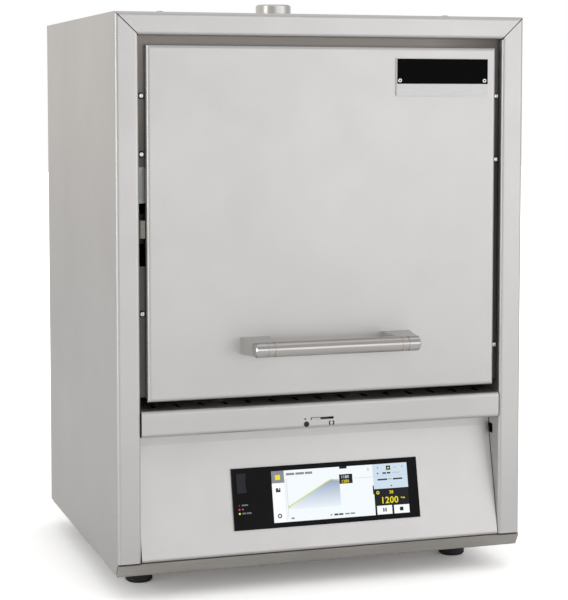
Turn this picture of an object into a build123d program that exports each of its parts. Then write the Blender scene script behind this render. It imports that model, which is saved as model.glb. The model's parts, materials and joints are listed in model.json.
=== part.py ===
from build123d import *
import math
import os

# Overall sizes in millimetres: the front faces of the posts lie in the plane y = FRONT
WIDTH = 340.0
BODY_DEPTH = 284.0
ROOF = 457.0
FOOT_H = 20.0
FRONT = -134.0
REAR = FRONT + BODY_DEPTH
HALF = WIDTH / 2
REAR_MOST = REAR + 17.0

# Sheet metal: thickness, outside bend radius, play between neighbouring sheets
T = 1.2
BEND = 3.0
PLAY = 0.3

# Front frame: posts, top flange, middle rail, sill of the base
POST_W = 18.85
POST_IN = HALF - POST_W
TOP_FLANGE = 17.85
FLANGE_Z = ROOF - TOP_FLANGE
MITRE = TOP_FLANGE / POST_W
RETURN_DEPTH = 32.0
RAIL_TOP = 150.1
RAIL_H = 20.85
RAIL_BOT = RAIL_TOP - RAIL_H
SHELF_DEPTH = 46.0
SILL = 30.2
BEVEL = 6.2
POST_FOOT = 31.5
SIDE_FOOT = 22.5

# Slanted control panel: its fold, how far the fold stands back, its half width
FOLD_Z = RAIL_BOT - 9.95
FOLD_BACK = 20.5
PANEL_HALF = POST_IN - 0.45
TILT = math.atan2(FOLD_BACK, FOLD_Z - SILL)

# Door: gaps to post, rail and top flange, depth of the skin's folded edge
SIDE_GAP = 5.55
LOW_GAP = 6.6
TOP_GAP = 6.95
DOOR_HALF = POST_IN - SIDE_GAP
DOOR_BOT = RAIL_TOP + LOW_GAP
DOOR_TOP = FLANGE_Z - TOP_GAP
DOOR_H = DOOR_TOP - DOOR_BOT
DOOR_EDGE = 5.5
FACE_Y = FRONT + 6.3

# Lift linkage: plates and arms side by side from the post inwards, pivots, radial clearances
BEARING_X = POST_IN - 15.95
BEARING_T = 3.0
ARM_T = 4.0
ARM_W = 18.0
ARM_X = BEARING_X - ARM_T - 2.2
BRACKET_T = 3.0
BRACKET_X = ARM_X - BRACKET_T - 1.4
ARM_L = DOOR_H - 150.5
FRONT_Y = FRONT + 26.0
FRONT_Z = DOOR_TOP - 34.2
SET_Y = 30.0
SET_Z = 52.0
REAR_Y = FRONT_Y + SET_Y
REAR_Z = FRONT_Z - SET_Z
SHAFT_R = 5.0
PIN_R = 4.0
RUNNING = 0.05
SEAT = 0.01
OPEN_PIVOT = 0.25

# Heated chamber and its insulation
CHAMBER_MID = (DOOR_BOT + DOOR_TOP) / 2 - 2.45
CHAMBER_H = DOOR_H - 155.5
CHAMBER_W = WIDTH - 206.0
CHAMBER_D = 0.4225 * BODY_DEPTH
MOUTH_W = CHAMBER_W - 24.0
MOUTH_H = CHAMBER_H - 6.0
MOUTH_LIFT = 4.0
COLLAR_Y = FRONT + 48.0
COLLAR_T = 22.0
WALL = 66.0
REAR_WALL = 56.0
CHAMBER_Y = COLLAR_Y + COLLAR_T
CHAMBER_BACK = CHAMBER_Y + CHAMBER_D
CHAMBER_BOT = CHAMBER_MID - CHAMBER_H / 2
CHAMBER_TOP = CHAMBER_MID + CHAMBER_H / 2
BRICK_HALF = BRACKET_X - 2.6
BRICK_BACK = CHAMBER_BACK + REAR_WALL
BRICK_BOT = CHAMBER_BOT - WALL
BRICK_TOP = CHAMBER_TOP + WALL
SHELL_T = 1.0
SHELL_GAP = 0.2

# Door plug
PLUG_HALF = BRACKET_X - 32.6
PLUG_H = CHAMBER_H + 64.0
PLUG_BOT = CHAMBER_MID - PLUG_H / 2
PLUG_TOP = CHAMBER_MID + PLUG_H / 2
BOSS_GAP = 3.0
BOSS_D = 14.0

# Heating rods
ROD_R = 5.0
ROD_X = CHAMBER_W / 2 - 7.0
ROD_Y0 = CHAMBER_Y + 0.2 * CHAMBER_D
ROD_Y1 = CHAMBER_BACK - 0.283 * CHAMBER_D
ROD_BOT = RAIL_TOP + 2.9
ROD_TOP = ROOF - 19.0

# Exhaust in the roof
EXHAUST_Y = (CHAMBER_Y + CHAMBER_BACK) / 2 + 9.0
STUB_R = 15.0
STUB_H = 14.0
SPIGOT_R = 10.0
EXHAUST_R = 6.0
TUBE_R = 8.0
TUBE_TOP = ROOF - 11.0

# Handle
BAR_R = 6.0
BAR_OUT = 27.0
BAR_Y = FRONT - BAR_OUT
BAR_Z = DOOR_BOT + 41.3
BAR_HALF = DOOR_HALF - 77.6
CAP_L = 9.6
RING_L = 6.1

# Display on the slanted panel, measured along the panel from the sill
SCREEN_MID = 4.0
BEZEL_HALF = 79.0
BEZEL_LOW = 20.2
BEZEL_HIGH = 69.0
BEZEL_OUT = 1.4
LCD_LEFT = SCREEN_MID - BEZEL_HALF + 33.0
LCD_RIGHT = SCREEN_MID + BEZEL_HALF - 8.6
LCD_LOW = BEZEL_LOW + 4.0
LCD_HIGH = BEZEL_HIGH - 4.0
FLAP_LEFT = SCREEN_MID - BEZEL_HALF + 3.5
FLAP_RIGHT = FLAP_LEFT + 8.4
FLAP_LOW = BEZEL_HIGH - 19.6
FLAP_HIGH = BEZEL_HIGH - 4.2
LAMP_X = FLAP_LEFT + 1.4
LAMP_TOP = BEZEL_LOW + 19.6
LAMP_PITCH = 3.2

# Rear electrics
FAN_X = 75.0 - HALF
FAN_Z = 88.0
FAN_SIZE = 60.0
FAN_D = 25.0
MODULE_X = HALF - 70.0
MODULE_HALF = 29.0
INLET_X = MODULE_X + 13.0
SWITCH_X = MODULE_X - 15.5
SOCKET_Z = 62.0


def block(x0, x1, y0, y1, z0, z1):
    size = Box(abs(x1 - x0), abs(y1 - y0), abs(z1 - z0))
    return Pos((x0 + x1) / 2, (y0 + y1) / 2, (z0 + z1) / 2) * size


def rod_x(r, x0, x1, y, z):
    return Pos((x0 + x1) / 2, y, z) * Rot(0, 90, 0) * Cylinder(r, x1 - x0)


def rod_y(r, y0, y1, x, z):
    return Pos(x, (y0 + y1) / 2, z) * Rot(90, 0, 0) * Cylinder(r, y1 - y0)


def rod_z(r, z0, z1, x, y):
    return Pos(x, y, (z0 + z1) / 2) * Cylinder(r, z1 - z0)


def prism_x(points, x0, x1):
    outline = make_face(Polyline(*points, close=True))
    return Pos(x0, 0, 0) * extrude(Plane.YZ * outline, amount=x1 - x0)


def prism_y(points, y0, y1):
    outline = make_face(Polyline(*points, close=True))
    return Pos(0, y1, 0) * extrude(Plane.XZ * outline, amount=y1 - y0)


def mirrored(shape):
    return mirror(shape, about=Plane.YZ)


def pair(shape):
    return shape + mirrored(shape)


# A sheet bent along a line of points, its thickness to the left of the line
def folded(points, t, r):
    runs = []
    for a, b in zip(points, points[1:]):
        length = math.hypot(b[0] - a[0], b[1] - a[1])
        runs.append(((b[0] - a[0]) / length, (b[1] - a[1]) / length))
    inner = []
    last = len(points) - 1
    for i, p in enumerate(points):
        before = runs[max(i - 1, 0)]
        after = runs[min(i, last - 1)]
        share = t / (1 + before[0] * after[0] + before[1] * after[1])
        inner.append((p[0] - (before[1] + after[1]) * share, p[1] + (before[0] + after[0]) * share))
    face = make_face(Polyline(*points, *reversed(inner), close=True))
    for i in range(1, last):
        left_turn = runs[i - 1][0] * runs[i][1] - runs[i - 1][1] * runs[i][0] > 0
        outside = r if left_turn else r - t
        inside = r - t if left_turn else r
        for p, radius in ((points[i], outside), (inner[i], inside)):
            corner = face.vertices().sort_by_distance(Vector(*p))[0]
            face = fillet(corner, radius)
    return face


# The plane of the slanted panel: x to the right, y up the slope, z outwards
SLOPE = Plane(origin=(0, FRONT, SILL), x_dir=(1, 0, 0), z_dir=(0, -math.cos(TILT), math.sin(TILT)))


def sloped(x0, x1, s0, s1, n0, n1):
    body = Pos((x0 + x1) / 2, (s0 + s1) / 2, (n0 + n1) / 2) * Box(x1 - x0, s1 - s0, n1 - n0)
    return SLOPE * body


# Base tray: floor sheet, front lip that leans forward, side and rear lips
def base_tray():
    line = [(REAR - 2.8, 34.0), (REAR - 2.8, FOOT_H), (FRONT + BEVEL, FOOT_H), (FRONT, SILL - 0.2)]
    line.reverse()
    sheet = extrude(Plane.YZ * folded(line, T, BEND), amount=HALF - PLAY, both=True)
    side = HALF - T - PLAY
    for sign in (-1, 1):
        sheet -= block(sign * side, sign * (HALF + 1), FRONT + 7.4, REAR + 1, FOOT_H - 1, 40)
    lips = block(side - T, side, FRONT + 12, REAR - 6, FOOT_H, 34.0)
    sheet += pair(lips)
    for i in range(7):
        x = (i - 3) * 26.0
        for y in (-10.0, 60.0):
            sheet -= block(x - 2, x + 2, y, y + 34, FOOT_H - 1, FOOT_H + T + 1)
    for x in (-FOOT_X, FOOT_X):
        for y in (FOOT_Y0, FOOT_Y1):
            sheet -= rod_z(2.7, FOOT_H - 1, FOOT_H + T + 1, x, y)
    return sheet


# Rubber feet and the screws that hold them
FOOT_X = HALF - 32.0
FOOT_Y0 = FRONT + 66.5
FOOT_Y1 = REAR - 42.0
FOOT_R = 11.0


def one_foot():
    foot = rod_z(FOOT_R, 0, FOOT_H, 0, 0)
    foot = chamfer(foot.edges().sort_by(Axis.Z)[0], 1.4)
    foot -= rod_z(5.4, -1, 8.0, 0, 0)
    foot -= rod_z(2.6, 7, FOOT_H + 1, 0, 0)
    return foot


def one_foot_screw():
    screw = rod_z(4.6, 4.6, 7.9, 0, 0)
    screw += rod_z(2.5, 7.9, FOOT_H + 8, 0, 0)
    screw -= block(-3.4, 3.4, -0.5, 0.5, 4, 5.8)
    screw -= block(-0.5, 0.5, -3.4, 3.4, 4, 5.8)
    return screw


def at_feet(shape):
    group = []
    for x in (-FOOT_X, FOOT_X):
        for y in (FOOT_Y0, FOOT_Y1):
            group.append(Pos(x, y, 0) * shape)
    return Compound(children=[Part(g.wrapped) for g in group])


# Side panel, right hand: rear flange, side, front post and the post's inner flange
def side_panel():
    line = [(POST_IN, FRONT + RETURN_DEPTH), (POST_IN, FRONT), (HALF, FRONT), (HALF, REAR), (HALF - 12, REAR)]
    panel = Pos(0, 0, SIDE_FOOT) * extrude(folded(line, T, BEND), amount=ROOF - T - SIDE_FOOT)
    panel -= block(POST_IN - 1, HALF - T, FRONT - 1, REAR - 20, SIDE_FOOT - 1, POST_FOOT)
    lean = [(FRONT - 1, POST_FOOT), (FRONT + 1.4, POST_FOOT), (FRONT + BEVEL + 1.2, SIDE_FOOT - 0.2)]
    lean.append((FRONT - 1, SIDE_FOOT - 0.2))
    panel -= prism_x(lean, HALF - 4, HALF + 1)
    high = [(POST_IN - 3, FLANGE_Z - 3 * MITRE - 0.5), (HALF + 1, ROOF + MITRE - 0.5)]
    high.append((POST_IN - 3, ROOF + 2))
    panel -= prism_y(high, FRONT - 1, FRONT + T + 0.9)
    y1 = FRONT + RETURN_DEPTH + 1
    panel -= block(POST_IN - 1, POST_IN + T + 0.2, FRONT - 1, y1, FLANGE_Z - 0.5, ROOF)
    panel -= block(POST_IN - 1, POST_IN + 2, FRONT + 12.8, y1, FOLD_Z - 5.7, FOLD_Z + 2.3)
    for z in REAR_SCREW_Z:
        panel -= rod_y(2.1, REAR - 3, REAR + 1, HALF - REAR_SCREW_IN, z)
    return panel


# Roof: flat sheet over the sides, mitred front flange, return lip and rear lip
def top_cover():
    line = [(REAR, ROOF - 16), (REAR, ROOF), (FRONT, ROOF), (FRONT, FLANGE_Z), (FACE_Y - 0.4, FLANGE_Z)]
    cover = extrude(Plane.YZ * folded(line, T, BEND), amount=HALF - 0.2, both=True)
    under = ROOF - T
    outer = POST_IN + (under - 0.5 - FLANGE_Z) / MITRE
    wedge = [(POST_IN - 0.5, FLANGE_Z - 1), (POST_IN - 0.5, FLANGE_Z), (outer, under), (HALF + 1, under)]
    wedge.append((HALF + 1, FLANGE_Z - 1))
    cut = prism_y(wedge, FRONT - 1, FRONT + 21)
    cover -= pair(cut)
    cover -= pair(block(HALF - 12.6, HALF + 1, REAR - 6, REAR + 1, ROOF - 20, under))
    cover -= rod_z(SPIGOT_R + 0.3, ROOF - 4, ROOF + 1, 0, EXHAUST_Y)
    cover -= pair(rod_z(3.2, ROOF - 4, ROOF + 1, TOP_SCREW_X, TOP_SCREW_Y))
    return cover


# Button-head screws in the roof
TOP_SCREW_X = HALF - 48.0
TOP_SCREW_Y = FRONT + 51.0
BUTTON_R = 5.25
BUTTON_H = 3.4


def top_screws():
    ball = (BUTTON_R ** 2 + BUTTON_H ** 2) / (2 * BUTTON_H)
    head = Pos(0, 0, BUTTON_H - ball) * Sphere(ball)
    head &= block(-9, 9, -9, 9, 0, 9)
    head += rod_z(2.95, -13, 0.2, 0, 0)
    recess = extrude(RegularPolygon(radius=2.3, side_count=6), amount=3)
    head -= Pos(0, 0, 1.2) * recess
    screw = Pos(TOP_SCREW_X, TOP_SCREW_Y, ROOF) * head
    return pair(screw)


# Rear panel with vent slots and openings for fan, inlet, switch and heater leads
REAR_SCREW_IN = 6.5
REAR_LOW = 60.0
REAR_HIGH = ROOF - 37.0
REAR_SCREW_Z = (REAR_LOW, (REAR_LOW + REAR_HIGH) / 2, REAR_HIGH)
COVER_HALF = HALF - 65.0
COVER_BOT = CHAMBER_MID - 92.0
COVER_TOP = ROOF - 57.0
COVER_LIP = 9.0
COVER_T = 1.0
LOUVRE_PITCH = 18.0


def rear_panel():
    face = REAR - T - 0.2
    edge = HALF - T - 2
    panel = block(-edge, edge, face - T, face, SIDE_FOOT + 0.5, ROOF - 4)
    panel -= rod_y(FAN_SIZE / 2 - 2.5, face - 3, face + 1, FAN_X, FAN_Z)
    hole = MODULE_HALF - 1.8
    panel -= block(MODULE_X - hole, MODULE_X + hole, face - 3, face + 1, SOCKET_Z - 13.6, SOCKET_Z + 13.6)
    panel -= block(45 - COVER_HALF, COVER_HALF - 45, face - 3, face + 1, COVER_BOT + 70, COVER_TOP - 20)
    for i in range(8):
        x = -3.5 + (i - 3.5) * 9.0
        panel -= block(x - 1.5, x + 1.5, face - 3, face + 1, 108, 138)
    for x in (-40.0, 0.0, 40.0):
        for k in range(4):
            z = ROOF - 42 + 7.0 * k
            panel -= block(x - 16, x + 16, face - 3, face + 1, z, z + 2.6)
    for z in REAR_SCREW_Z:
        panel -= pair(rod_y(1.7, face - 3, face + 1, HALF - REAR_SCREW_IN, z))
    for z in (COVER_BOT + 5, COVER_TOP - 5):
        panel -= pair(rod_y(1.7, face - 3, face + 1, COVER_HALF - 4.5, z))
    return panel


def rear_cover():
    face = REAR - T - 0.2
    lip = block(-COVER_HALF, COVER_HALF, face, face + COVER_T, COVER_BOT, COVER_TOP)
    inner = COVER_HALF - COVER_LIP
    low = COVER_BOT + COVER_LIP
    high = COVER_TOP - COVER_LIP
    hood = block(-inner, inner, face, REAR_MOST, low, high)
    rim = hood.edges().group_by(Axis.Y)[-1]
    cover = lip + chamfer(rim, 3.0)
    wall = inner - COVER_T
    cover -= block(-wall, wall, face - 1, REAR_MOST - 3.4, low + COVER_T, high - COVER_T)
    cover -= block(2.2 - wall, wall - 2.2, face, REAR_MOST - COVER_T, low + 3.2, high - 3.2)
    rows = int((COVER_TOP - COVER_BOT - 56) // LOUVRE_PITCH) + 1
    reach = inner / 2 - 18
    for i in range(rows):
        z = COVER_BOT + 28 + i * LOUVRE_PITCH
        for x in (2 - inner / 2, inner / 2 - 2):
            cover -= block(x - reach, x + reach, REAR_MOST - 2, REAR_MOST + 1, z - 2, z + 2)
    for z in (COVER_BOT + 5, COVER_TOP - 5):
        cover -= pair(rod_y(2.1, face - 3, face + 2, COVER_HALF - 4.5, z))
    return cover


# Pan-head screws, all alike: face plate, rear edges and rear cover
HEAD_R = 2.6
HEAD_H = 1.7


def pan_screw(x, seat, z, outward):
    head = rod_y(HEAD_R, 0, HEAD_H, 0, 0)
    far = head.edges().sort_by(Axis.Y)[-1]
    head = fillet(far, HEAD_H - 0.3)
    head += rod_y(1.5, -6.0, 0.1, 0, 0)
    head -= block(-1.5, 1.5, HEAD_H - 0.9, HEAD_H + 1, -0.3, 0.3)
    head -= block(-0.3, 0.3, HEAD_H - 0.9, HEAD_H + 1, -1.5, 1.5)
    if outward < 0:
        head = Rot(0, 0, 180) * head
    return Pos(x, seat, z) * head


GAP_SCREW_X = POST_IN - 2.85


def pan_screws():
    group = []
    for x, z in gap_screw_places():
        group.append(pan_screw(x, FACE_Y, z, -1))
    for sign in (-1, 1):
        for z in REAR_SCREW_Z:
            group.append(pan_screw(sign * (HALF - REAR_SCREW_IN), REAR, z, 1))
        for z in (COVER_BOT + 5, COVER_TOP - 5):
            group.append(pan_screw(sign * (COVER_HALF - 4.5), REAR - T - 0.2 + COVER_T, z, 1))
    return Compound(children=[Part(g.wrapped) for g in group])


def gap_screw_places():
    left = [(-GAP_SCREW_X, DOOR_BOT + share * DOOR_H) for share in (0.858, 0.6955, 0.249)]
    right = [(GAP_SCREW_X, DOOR_BOT + share * DOOR_H) for share in (0.858, 0.6708, 0.1172)]
    return left + right


# Middle rail: front strip, shelf with cooling slots under the door, slot of the air slider
SLOT_PITCH = 19.6
SLOT_COUNT = int(2 * (POST_IN - 13) / SLOT_PITCH) + 1
AIR_SLOT_LEFT = -12.9
AIR_SLOT_RIGHT = 6.4
AIR_SLOT_Z = RAIL_BOT + 7.85


def middle_rail():
    line = [(FRONT + SHELF_DEPTH, RAIL_TOP), (FRONT, RAIL_TOP), (FRONT, RAIL_BOT), (FRONT + 12, RAIL_BOT)]
    rail = extrude(Plane.YZ * folded(line, T, BEND), amount=POST_IN - 0.6, both=True)
    for i in range(SLOT_COUNT):
        x = (i - (SLOT_COUNT - 1) / 2) * SLOT_PITCH
        rail -= block(x - 2, x + 2, FRONT + 13, FRONT + 27, RAIL_TOP - 2, RAIL_TOP + 1)
    rail -= block(AIR_SLOT_LEFT, AIR_SLOT_RIGHT, FRONT - 1, FRONT + 2, AIR_SLOT_Z - 0.95, AIR_SLOT_Z + 0.95)
    rail -= rod_y(0.75, FRONT - 1, FRONT + 2, -17.5, AIR_SLOT_Z)
    return rail


# Air slider: finger tab through the slot, shutter plate in its guide
SHUTTER_Y = FRONT + 7.0


def air_slider():
    z = AIR_SLOT_Z
    tab = block(-12.5, -5.2, FRONT - 1.1, SHUTTER_Y + 0.5, z - 0.75, z + 0.75)
    plate = block(-34, 14, SHUTTER_Y, SHUTTER_Y + T, z - 4.7, z + 7.9)
    for x in (-30, 0):
        plate -= block(x, x + 10, SHUTTER_Y - 1, SHUTTER_Y + 2, z + 2.4, z + 5.9)
    return tab + plate


def slider_guide():
    z = AIR_SLOT_Z
    guide = block(-52, 44, SHUTTER_Y - 2.2, SHUTTER_Y + 4.4, RAIL_BOT + T + 0.4, RAIL_TOP - T - 0.1)
    guide -= block(-47, 39, SHUTTER_Y - 0.2, SHUTTER_Y + T + 0.2, z - 4.9, z + 8.1)
    guide -= block(-43, 35, SHUTTER_Y - 3, SHUTTER_Y + 0.2, z - 2.7, z + 6.7)
    for x in (-19, 11):
        guide -= block(x, x + 10, SHUTTER_Y, SHUTTER_Y + 6, z + 2.4, z + 5.9)
    return guide


# Slanted control panel with upper flange, side wings and lower lip
def control_panel():
    top = RAIL_BOT - 1.75
    line = [(FRONT + FOLD_BACK, top), (FRONT + FOLD_BACK, FOLD_Z), (FRONT, SILL), (FRONT + 14, SILL)]
    panel = extrude(Plane.YZ * folded(line, T, BEND), amount=PANEL_HALF, both=True)
    slant = math.tan(TILT)
    low = (FRONT + (POST_FOOT - SILL + 1) * slant + 1.0, POST_FOOT + 1)
    ear = FOLD_Z - 7.3
    high = (FRONT + (ear - SILL) * slant + 1.0, ear)
    wing = prism_x([low, high, (high[0] + 13, high[1]), (low[0] + 13, low[1])], PANEL_HALF - T, PANEL_HALF)
    panel += pair(wing)
    left = SCREEN_MID - BEZEL_HALF + 3
    right = SCREEN_MID + BEZEL_HALF - 3
    panel -= sloped(left, right, BEZEL_LOW + 3, BEZEL_HIGH - 3, -4, 2)
    return panel


# Display: bezel with window, pocket of the cover flap and lamp holes
def display_bezel():
    left = SCREEN_MID - BEZEL_HALF
    right = SCREEN_MID + BEZEL_HALF
    bezel = sloped(left, right, BEZEL_LOW, BEZEL_HIGH, 0.0, BEZEL_OUT)
    bezel += sloped(left + 3.3, right - 3.3, BEZEL_LOW + 3.3, BEZEL_HIGH - 3.3, -8.0, 0.1)
    bezel -= sloped(LCD_LEFT, LCD_RIGHT, LCD_LOW, LCD_HIGH, -2.6, 2)
    bezel -= sloped(LCD_LEFT + 3, LCD_RIGHT - 3, LCD_LOW + 3, LCD_HIGH - 3, -9, 2)
    bezel -= sloped(FLAP_LEFT - 0.35, FLAP_RIGHT + 0.2, FLAP_LOW - 0.2, FLAP_HIGH + 0.2, -0.1, 2)
    bezel -= sloped(FLAP_LEFT + 1.2, FLAP_RIGHT - 0.9, FLAP_LOW + 0.9, FLAP_HIGH - 0.9, -9, 2)
    bezel -= sloped(FLAP_RIGHT + 3, LCD_LEFT - 3, LCD_LOW, LCD_HIGH, -9, -2)
    for s in lamp_places():
        bezel -= SLOPE * Pos(LAMP_X, s, -3) * Cylinder(0.85, 12)
    return bezel


def lamp_places():
    return [LAMP_TOP - i * LAMP_PITCH for i in range(3)]


def status_lamps():
    group = []
    for s in lamp_places():
        lamp = Cylinder(0.8, 5.2)
        lamp = fillet(lamp.edges().sort_by(Axis.Z)[-1], 0.3)
        group.append(SLOPE * Pos(LAMP_X, s, BEZEL_OUT - 2.5) * lamp)
    return Compound(children=[Part(g.wrapped) for g in group])


def display_screen():
    return sloped(LCD_LEFT + 0.2, LCD_RIGHT - 0.2, LCD_LOW + 0.2, LCD_HIGH - 0.2, -2.6, BEZEL_OUT - 0.3)


def display_board():
    x0 = SCREEN_MID - BEZEL_HALF + 2
    x1 = SCREEN_MID + BEZEL_HALF - 2
    board = sloped(x0, x1, BEZEL_LOW + 2, BEZEL_HIGH - 2, -10.6, -9.0)
    for i in range(4):
        x = x0 + 43 + (x1 - x0 - 76) / 3 * i
        board += sloped(x, x + 14, BEZEL_LOW + 10, BEZEL_LOW + 24, -13.0, -10.5)
    board += sloped(SCREEN_MID - 24, SCREEN_MID + 20, BEZEL_HIGH - 19, BEZEL_HIGH - 9, -18.0, -10.5)
    board += sloped(x1 - 41, x1 - 11, BEZEL_HIGH - 19, BEZEL_HIGH - 7, -20.0, -10.5)
    mid_x = (FLAP_LEFT + FLAP_RIGHT) / 2 + 0.1
    mid_s = (FLAP_LOW + FLAP_HIGH) / 2
    board += sloped(mid_x - 2.9, mid_x + 2.9, mid_s - 6.6, mid_s + 6.6, -9.1, -0.3)
    board -= sloped(mid_x - 2.5, mid_x + 2.5, mid_s - 6.2, mid_s + 6.2, -8.0, 1)
    board += sloped(mid_x + 0.4, mid_x + 2.2, mid_s - 5.5, mid_s + 5.5, -8.4, -1.2)
    return board


def usb_flap():
    axis_n = BEZEL_OUT - 0.65
    mid_s = (FLAP_LOW + FLAP_HIGH) / 2
    length = FLAP_HIGH - FLAP_LOW
    knuckle = SLOPE * Pos(FLAP_LEFT + 0.5, mid_s, axis_n) * Rot(90, 0, 0) * Cylinder(0.5, length)
    leaf = sloped(FLAP_LEFT + 0.5, FLAP_RIGHT, FLAP_LOW, FLAP_HIGH, axis_n - 0.5, axis_n + 0.5)
    leaf -= SLOPE * Pos(FLAP_RIGHT - 0.2, mid_s, axis_n + 0.9) * Rot(90, 0, 0) * Cylinder(0.8, 8)
    return knuckle + leaf


# Face plate behind the door: opening for the plug, slots for the lift arms, cut-out of the door switch
LATCH_Z = DOOR_BOT + 0.486 * DOOR_H
LATCH_IN = 9.15
LATCH_LOW = LATCH_Z - 28.6
LATCH_HIGH = LATCH_Z + 0.1738 * DOOR_H


def face_plate():
    low = DOOR_BOT + 2.8
    high = ROOF - 5.0
    line = [(FACE_Y + 15, high), (FACE_Y, high), (FACE_Y, low), (FACE_Y + 15, low)]
    plate = extrude(Plane.YZ * folded(line, T, 1.8), amount=POST_IN - 0.55, both=True)
    plate -= block(-PLUG_HALF - 5, PLUG_HALF + 5, FACE_Y - 1, FACE_Y + 3, PLUG_BOT - 5, PLUG_TOP + 10)
    slot = block(BRACKET_X - 16.6, BEARING_X + 1.4, FACE_Y - 1, FACE_Y + 3, REAR_Z - ARM_L - 17, FRONT_Z + 28)
    plate -= pair(slot)
    plate -= block(-POST_IN, LATCH_IN - POST_IN, FACE_Y - 1, FACE_Y + 3, LATCH_LOW, LATCH_HIGH)
    for x, z in gap_screw_places():
        plate -= rod_y(1.7, FACE_Y - 1, FACE_Y + 3, x, z)
    return plate


def door_switch():
    outer = 0.85 - POST_IN
    body = block(outer, outer + 4.3, FACE_Y - 3.4, FACE_Y + 9, LATCH_Z - 6.9, LATCH_Z + 6.9)
    front = body.edges().group_by(Axis.Y)[0]
    body = chamfer(front, 0.6)
    body += block(outer, outer + 9.3, FACE_Y + 6, FACE_Y + 10, LATCH_Z - 11.6, LATCH_Z + 11.4)
    return body


# Deck between the electrics and the oven, with two hat rails under the shell
def deck_plate():
    z = RAIL_TOP - 1.2
    deck = block(-HALF + 2, HALF - 2, FRONT + SHELF_DEPTH + 0.5, REAR - 4, z, z + T)
    for y in (ROD_Y0, ROD_Y1):
        deck -= pair(rod_z(7.0, z - 1, z + 3, ROD_X, y))
    x0 = BRICK_HALF - 32
    y0 = COLLAR_Y + 12
    y1 = BRICK_BACK - 8
    rail = block(x0, x0 + 16, y0, y1, z + T, BRICK_BOT - SHELL_GAP - SHELL_T)
    rail -= block(x0 + 1, x0 + 15, y0 - 1, y1 + 1, z, BRICK_BOT - SHELL_GAP - 2 * SHELL_T - T)
    deck += pair(rail)
    return deck


# Steel shell round the insulation, open at the front
def inner_shell():
    x = BRICK_HALF + SHELL_GAP
    low = BRICK_BOT - SHELL_GAP
    high = BRICK_TOP + SHELL_GAP
    back = BRICK_BACK + SHELL_GAP
    shell = block(-x - SHELL_T, x + SHELL_T, COLLAR_Y, back + SHELL_T, low - SHELL_T, high + SHELL_T)
    shell -= block(-x, x, COLLAR_Y - 1, back, low, high)
    for y in (ROD_Y0, ROD_Y1):
        shell -= pair(rod_z(8.0, low - 3, high + 3, ROD_X, y))
    shell -= rod_z(TUBE_R + 1.5, high - 2, high + 3, 0, EXHAUST_Y)
    shell -= rod_y(5.0, back - 2, back + 3, PROBE_X, PROBE_Z)
    return shell


# Insulation boards
def insulation_floor():
    brick = block(-BRICK_HALF, BRICK_HALF, CHAMBER_Y, BRICK_BACK, BRICK_BOT, CHAMBER_BOT)
    for y in (ROD_Y0, ROD_Y1):
        brick -= pair(rod_z(ROD_R + 1, BRICK_BOT - 1, CHAMBER_BOT + 1, ROD_X, y))
    return brick


def insulation_roof():
    brick = block(-BRICK_HALF, BRICK_HALF, CHAMBER_Y, BRICK_BACK, CHAMBER_TOP, BRICK_TOP)
    for y in (ROD_Y0, ROD_Y1):
        brick -= pair(rod_z(ROD_R + 1, CHAMBER_TOP - 1, BRICK_TOP + 1, ROD_X, y))
    brick -= rod_z(TUBE_R + 0.4, CHAMBER_TOP - 1, BRICK_TOP + 1, 0, EXHAUST_Y)
    return brick


def insulation_sides():
    return pair(block(CHAMBER_W / 2, BRICK_HALF, CHAMBER_Y, CHAMBER_BACK, CHAMBER_BOT, CHAMBER_TOP))


def insulation_rear():
    brick = block(-BRICK_HALF, BRICK_HALF, CHAMBER_BACK, BRICK_BACK, CHAMBER_BOT, CHAMBER_TOP)
    brick -= rod_y(4.0, CHAMBER_BACK - 1, BRICK_BACK + 1, PROBE_X, PROBE_Z)
    return brick


# Dense collar round the mouth of the chamber, its mouth flared for the door's plug
def chamber_collar():
    collar = block(-BRICK_HALF, BRICK_HALF, COLLAR_Y, CHAMBER_Y, BRICK_BOT, BRICK_TOP)
    x = MOUTH_W / 2
    low = CHAMBER_BOT + MOUTH_LIFT
    high = low + MOUTH_H
    collar -= block(-x, x, COLLAR_Y - 1, CHAMBER_Y + 1, low, high)
    return collar


def hearth_plate():
    x = MOUTH_W / 2 - 2
    plate = block(-x, x, CHAMBER_Y + 4, CHAMBER_BACK - 4, CHAMBER_BOT, CHAMBER_BOT + 7)
    plate = fillet(plate.edges().filter_by(Axis.Z), 4)
    plate -= block(4 - x, x - 4, CHAMBER_Y + 8, CHAMBER_BACK - 8, CHAMBER_BOT + 4.5, CHAMBER_BOT + 9)
    return plate


# Upright heating rods and the clamps on both of their ends
def heater_rods():
    group = rod_z(ROD_R, ROD_BOT, ROD_TOP, ROD_X, ROD_Y0) + rod_z(ROD_R, ROD_BOT, ROD_TOP, ROD_X, ROD_Y1)
    return pair(group)


def rod_clamps():
    group = []
    for x in (-ROD_X, ROD_X):
        for y in (ROD_Y0, ROD_Y1):
            for z in (ROD_BOT + 0.5, ROD_TOP - 9.5):
                clamp = block(-8, 8, -8, 12, 0, 9)
                clamp -= rod_z(ROD_R + SEAT, -1, 10, 0, 0)
                clamp -= block(-0.7, 0.7, 0, 13, -1, 10)
                clamp += rod_x(2.6, 8, 10.4, 9, 4.5)
                group.append(Pos(x, y, z) * clamp)
    return Compound(children=[Part(g.wrapped) for g in group])


# Temperature probe through the rear wall, with its terminal head
PROBE_X = 0.0
PROBE_Z = CHAMBER_TOP - 6.0


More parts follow.
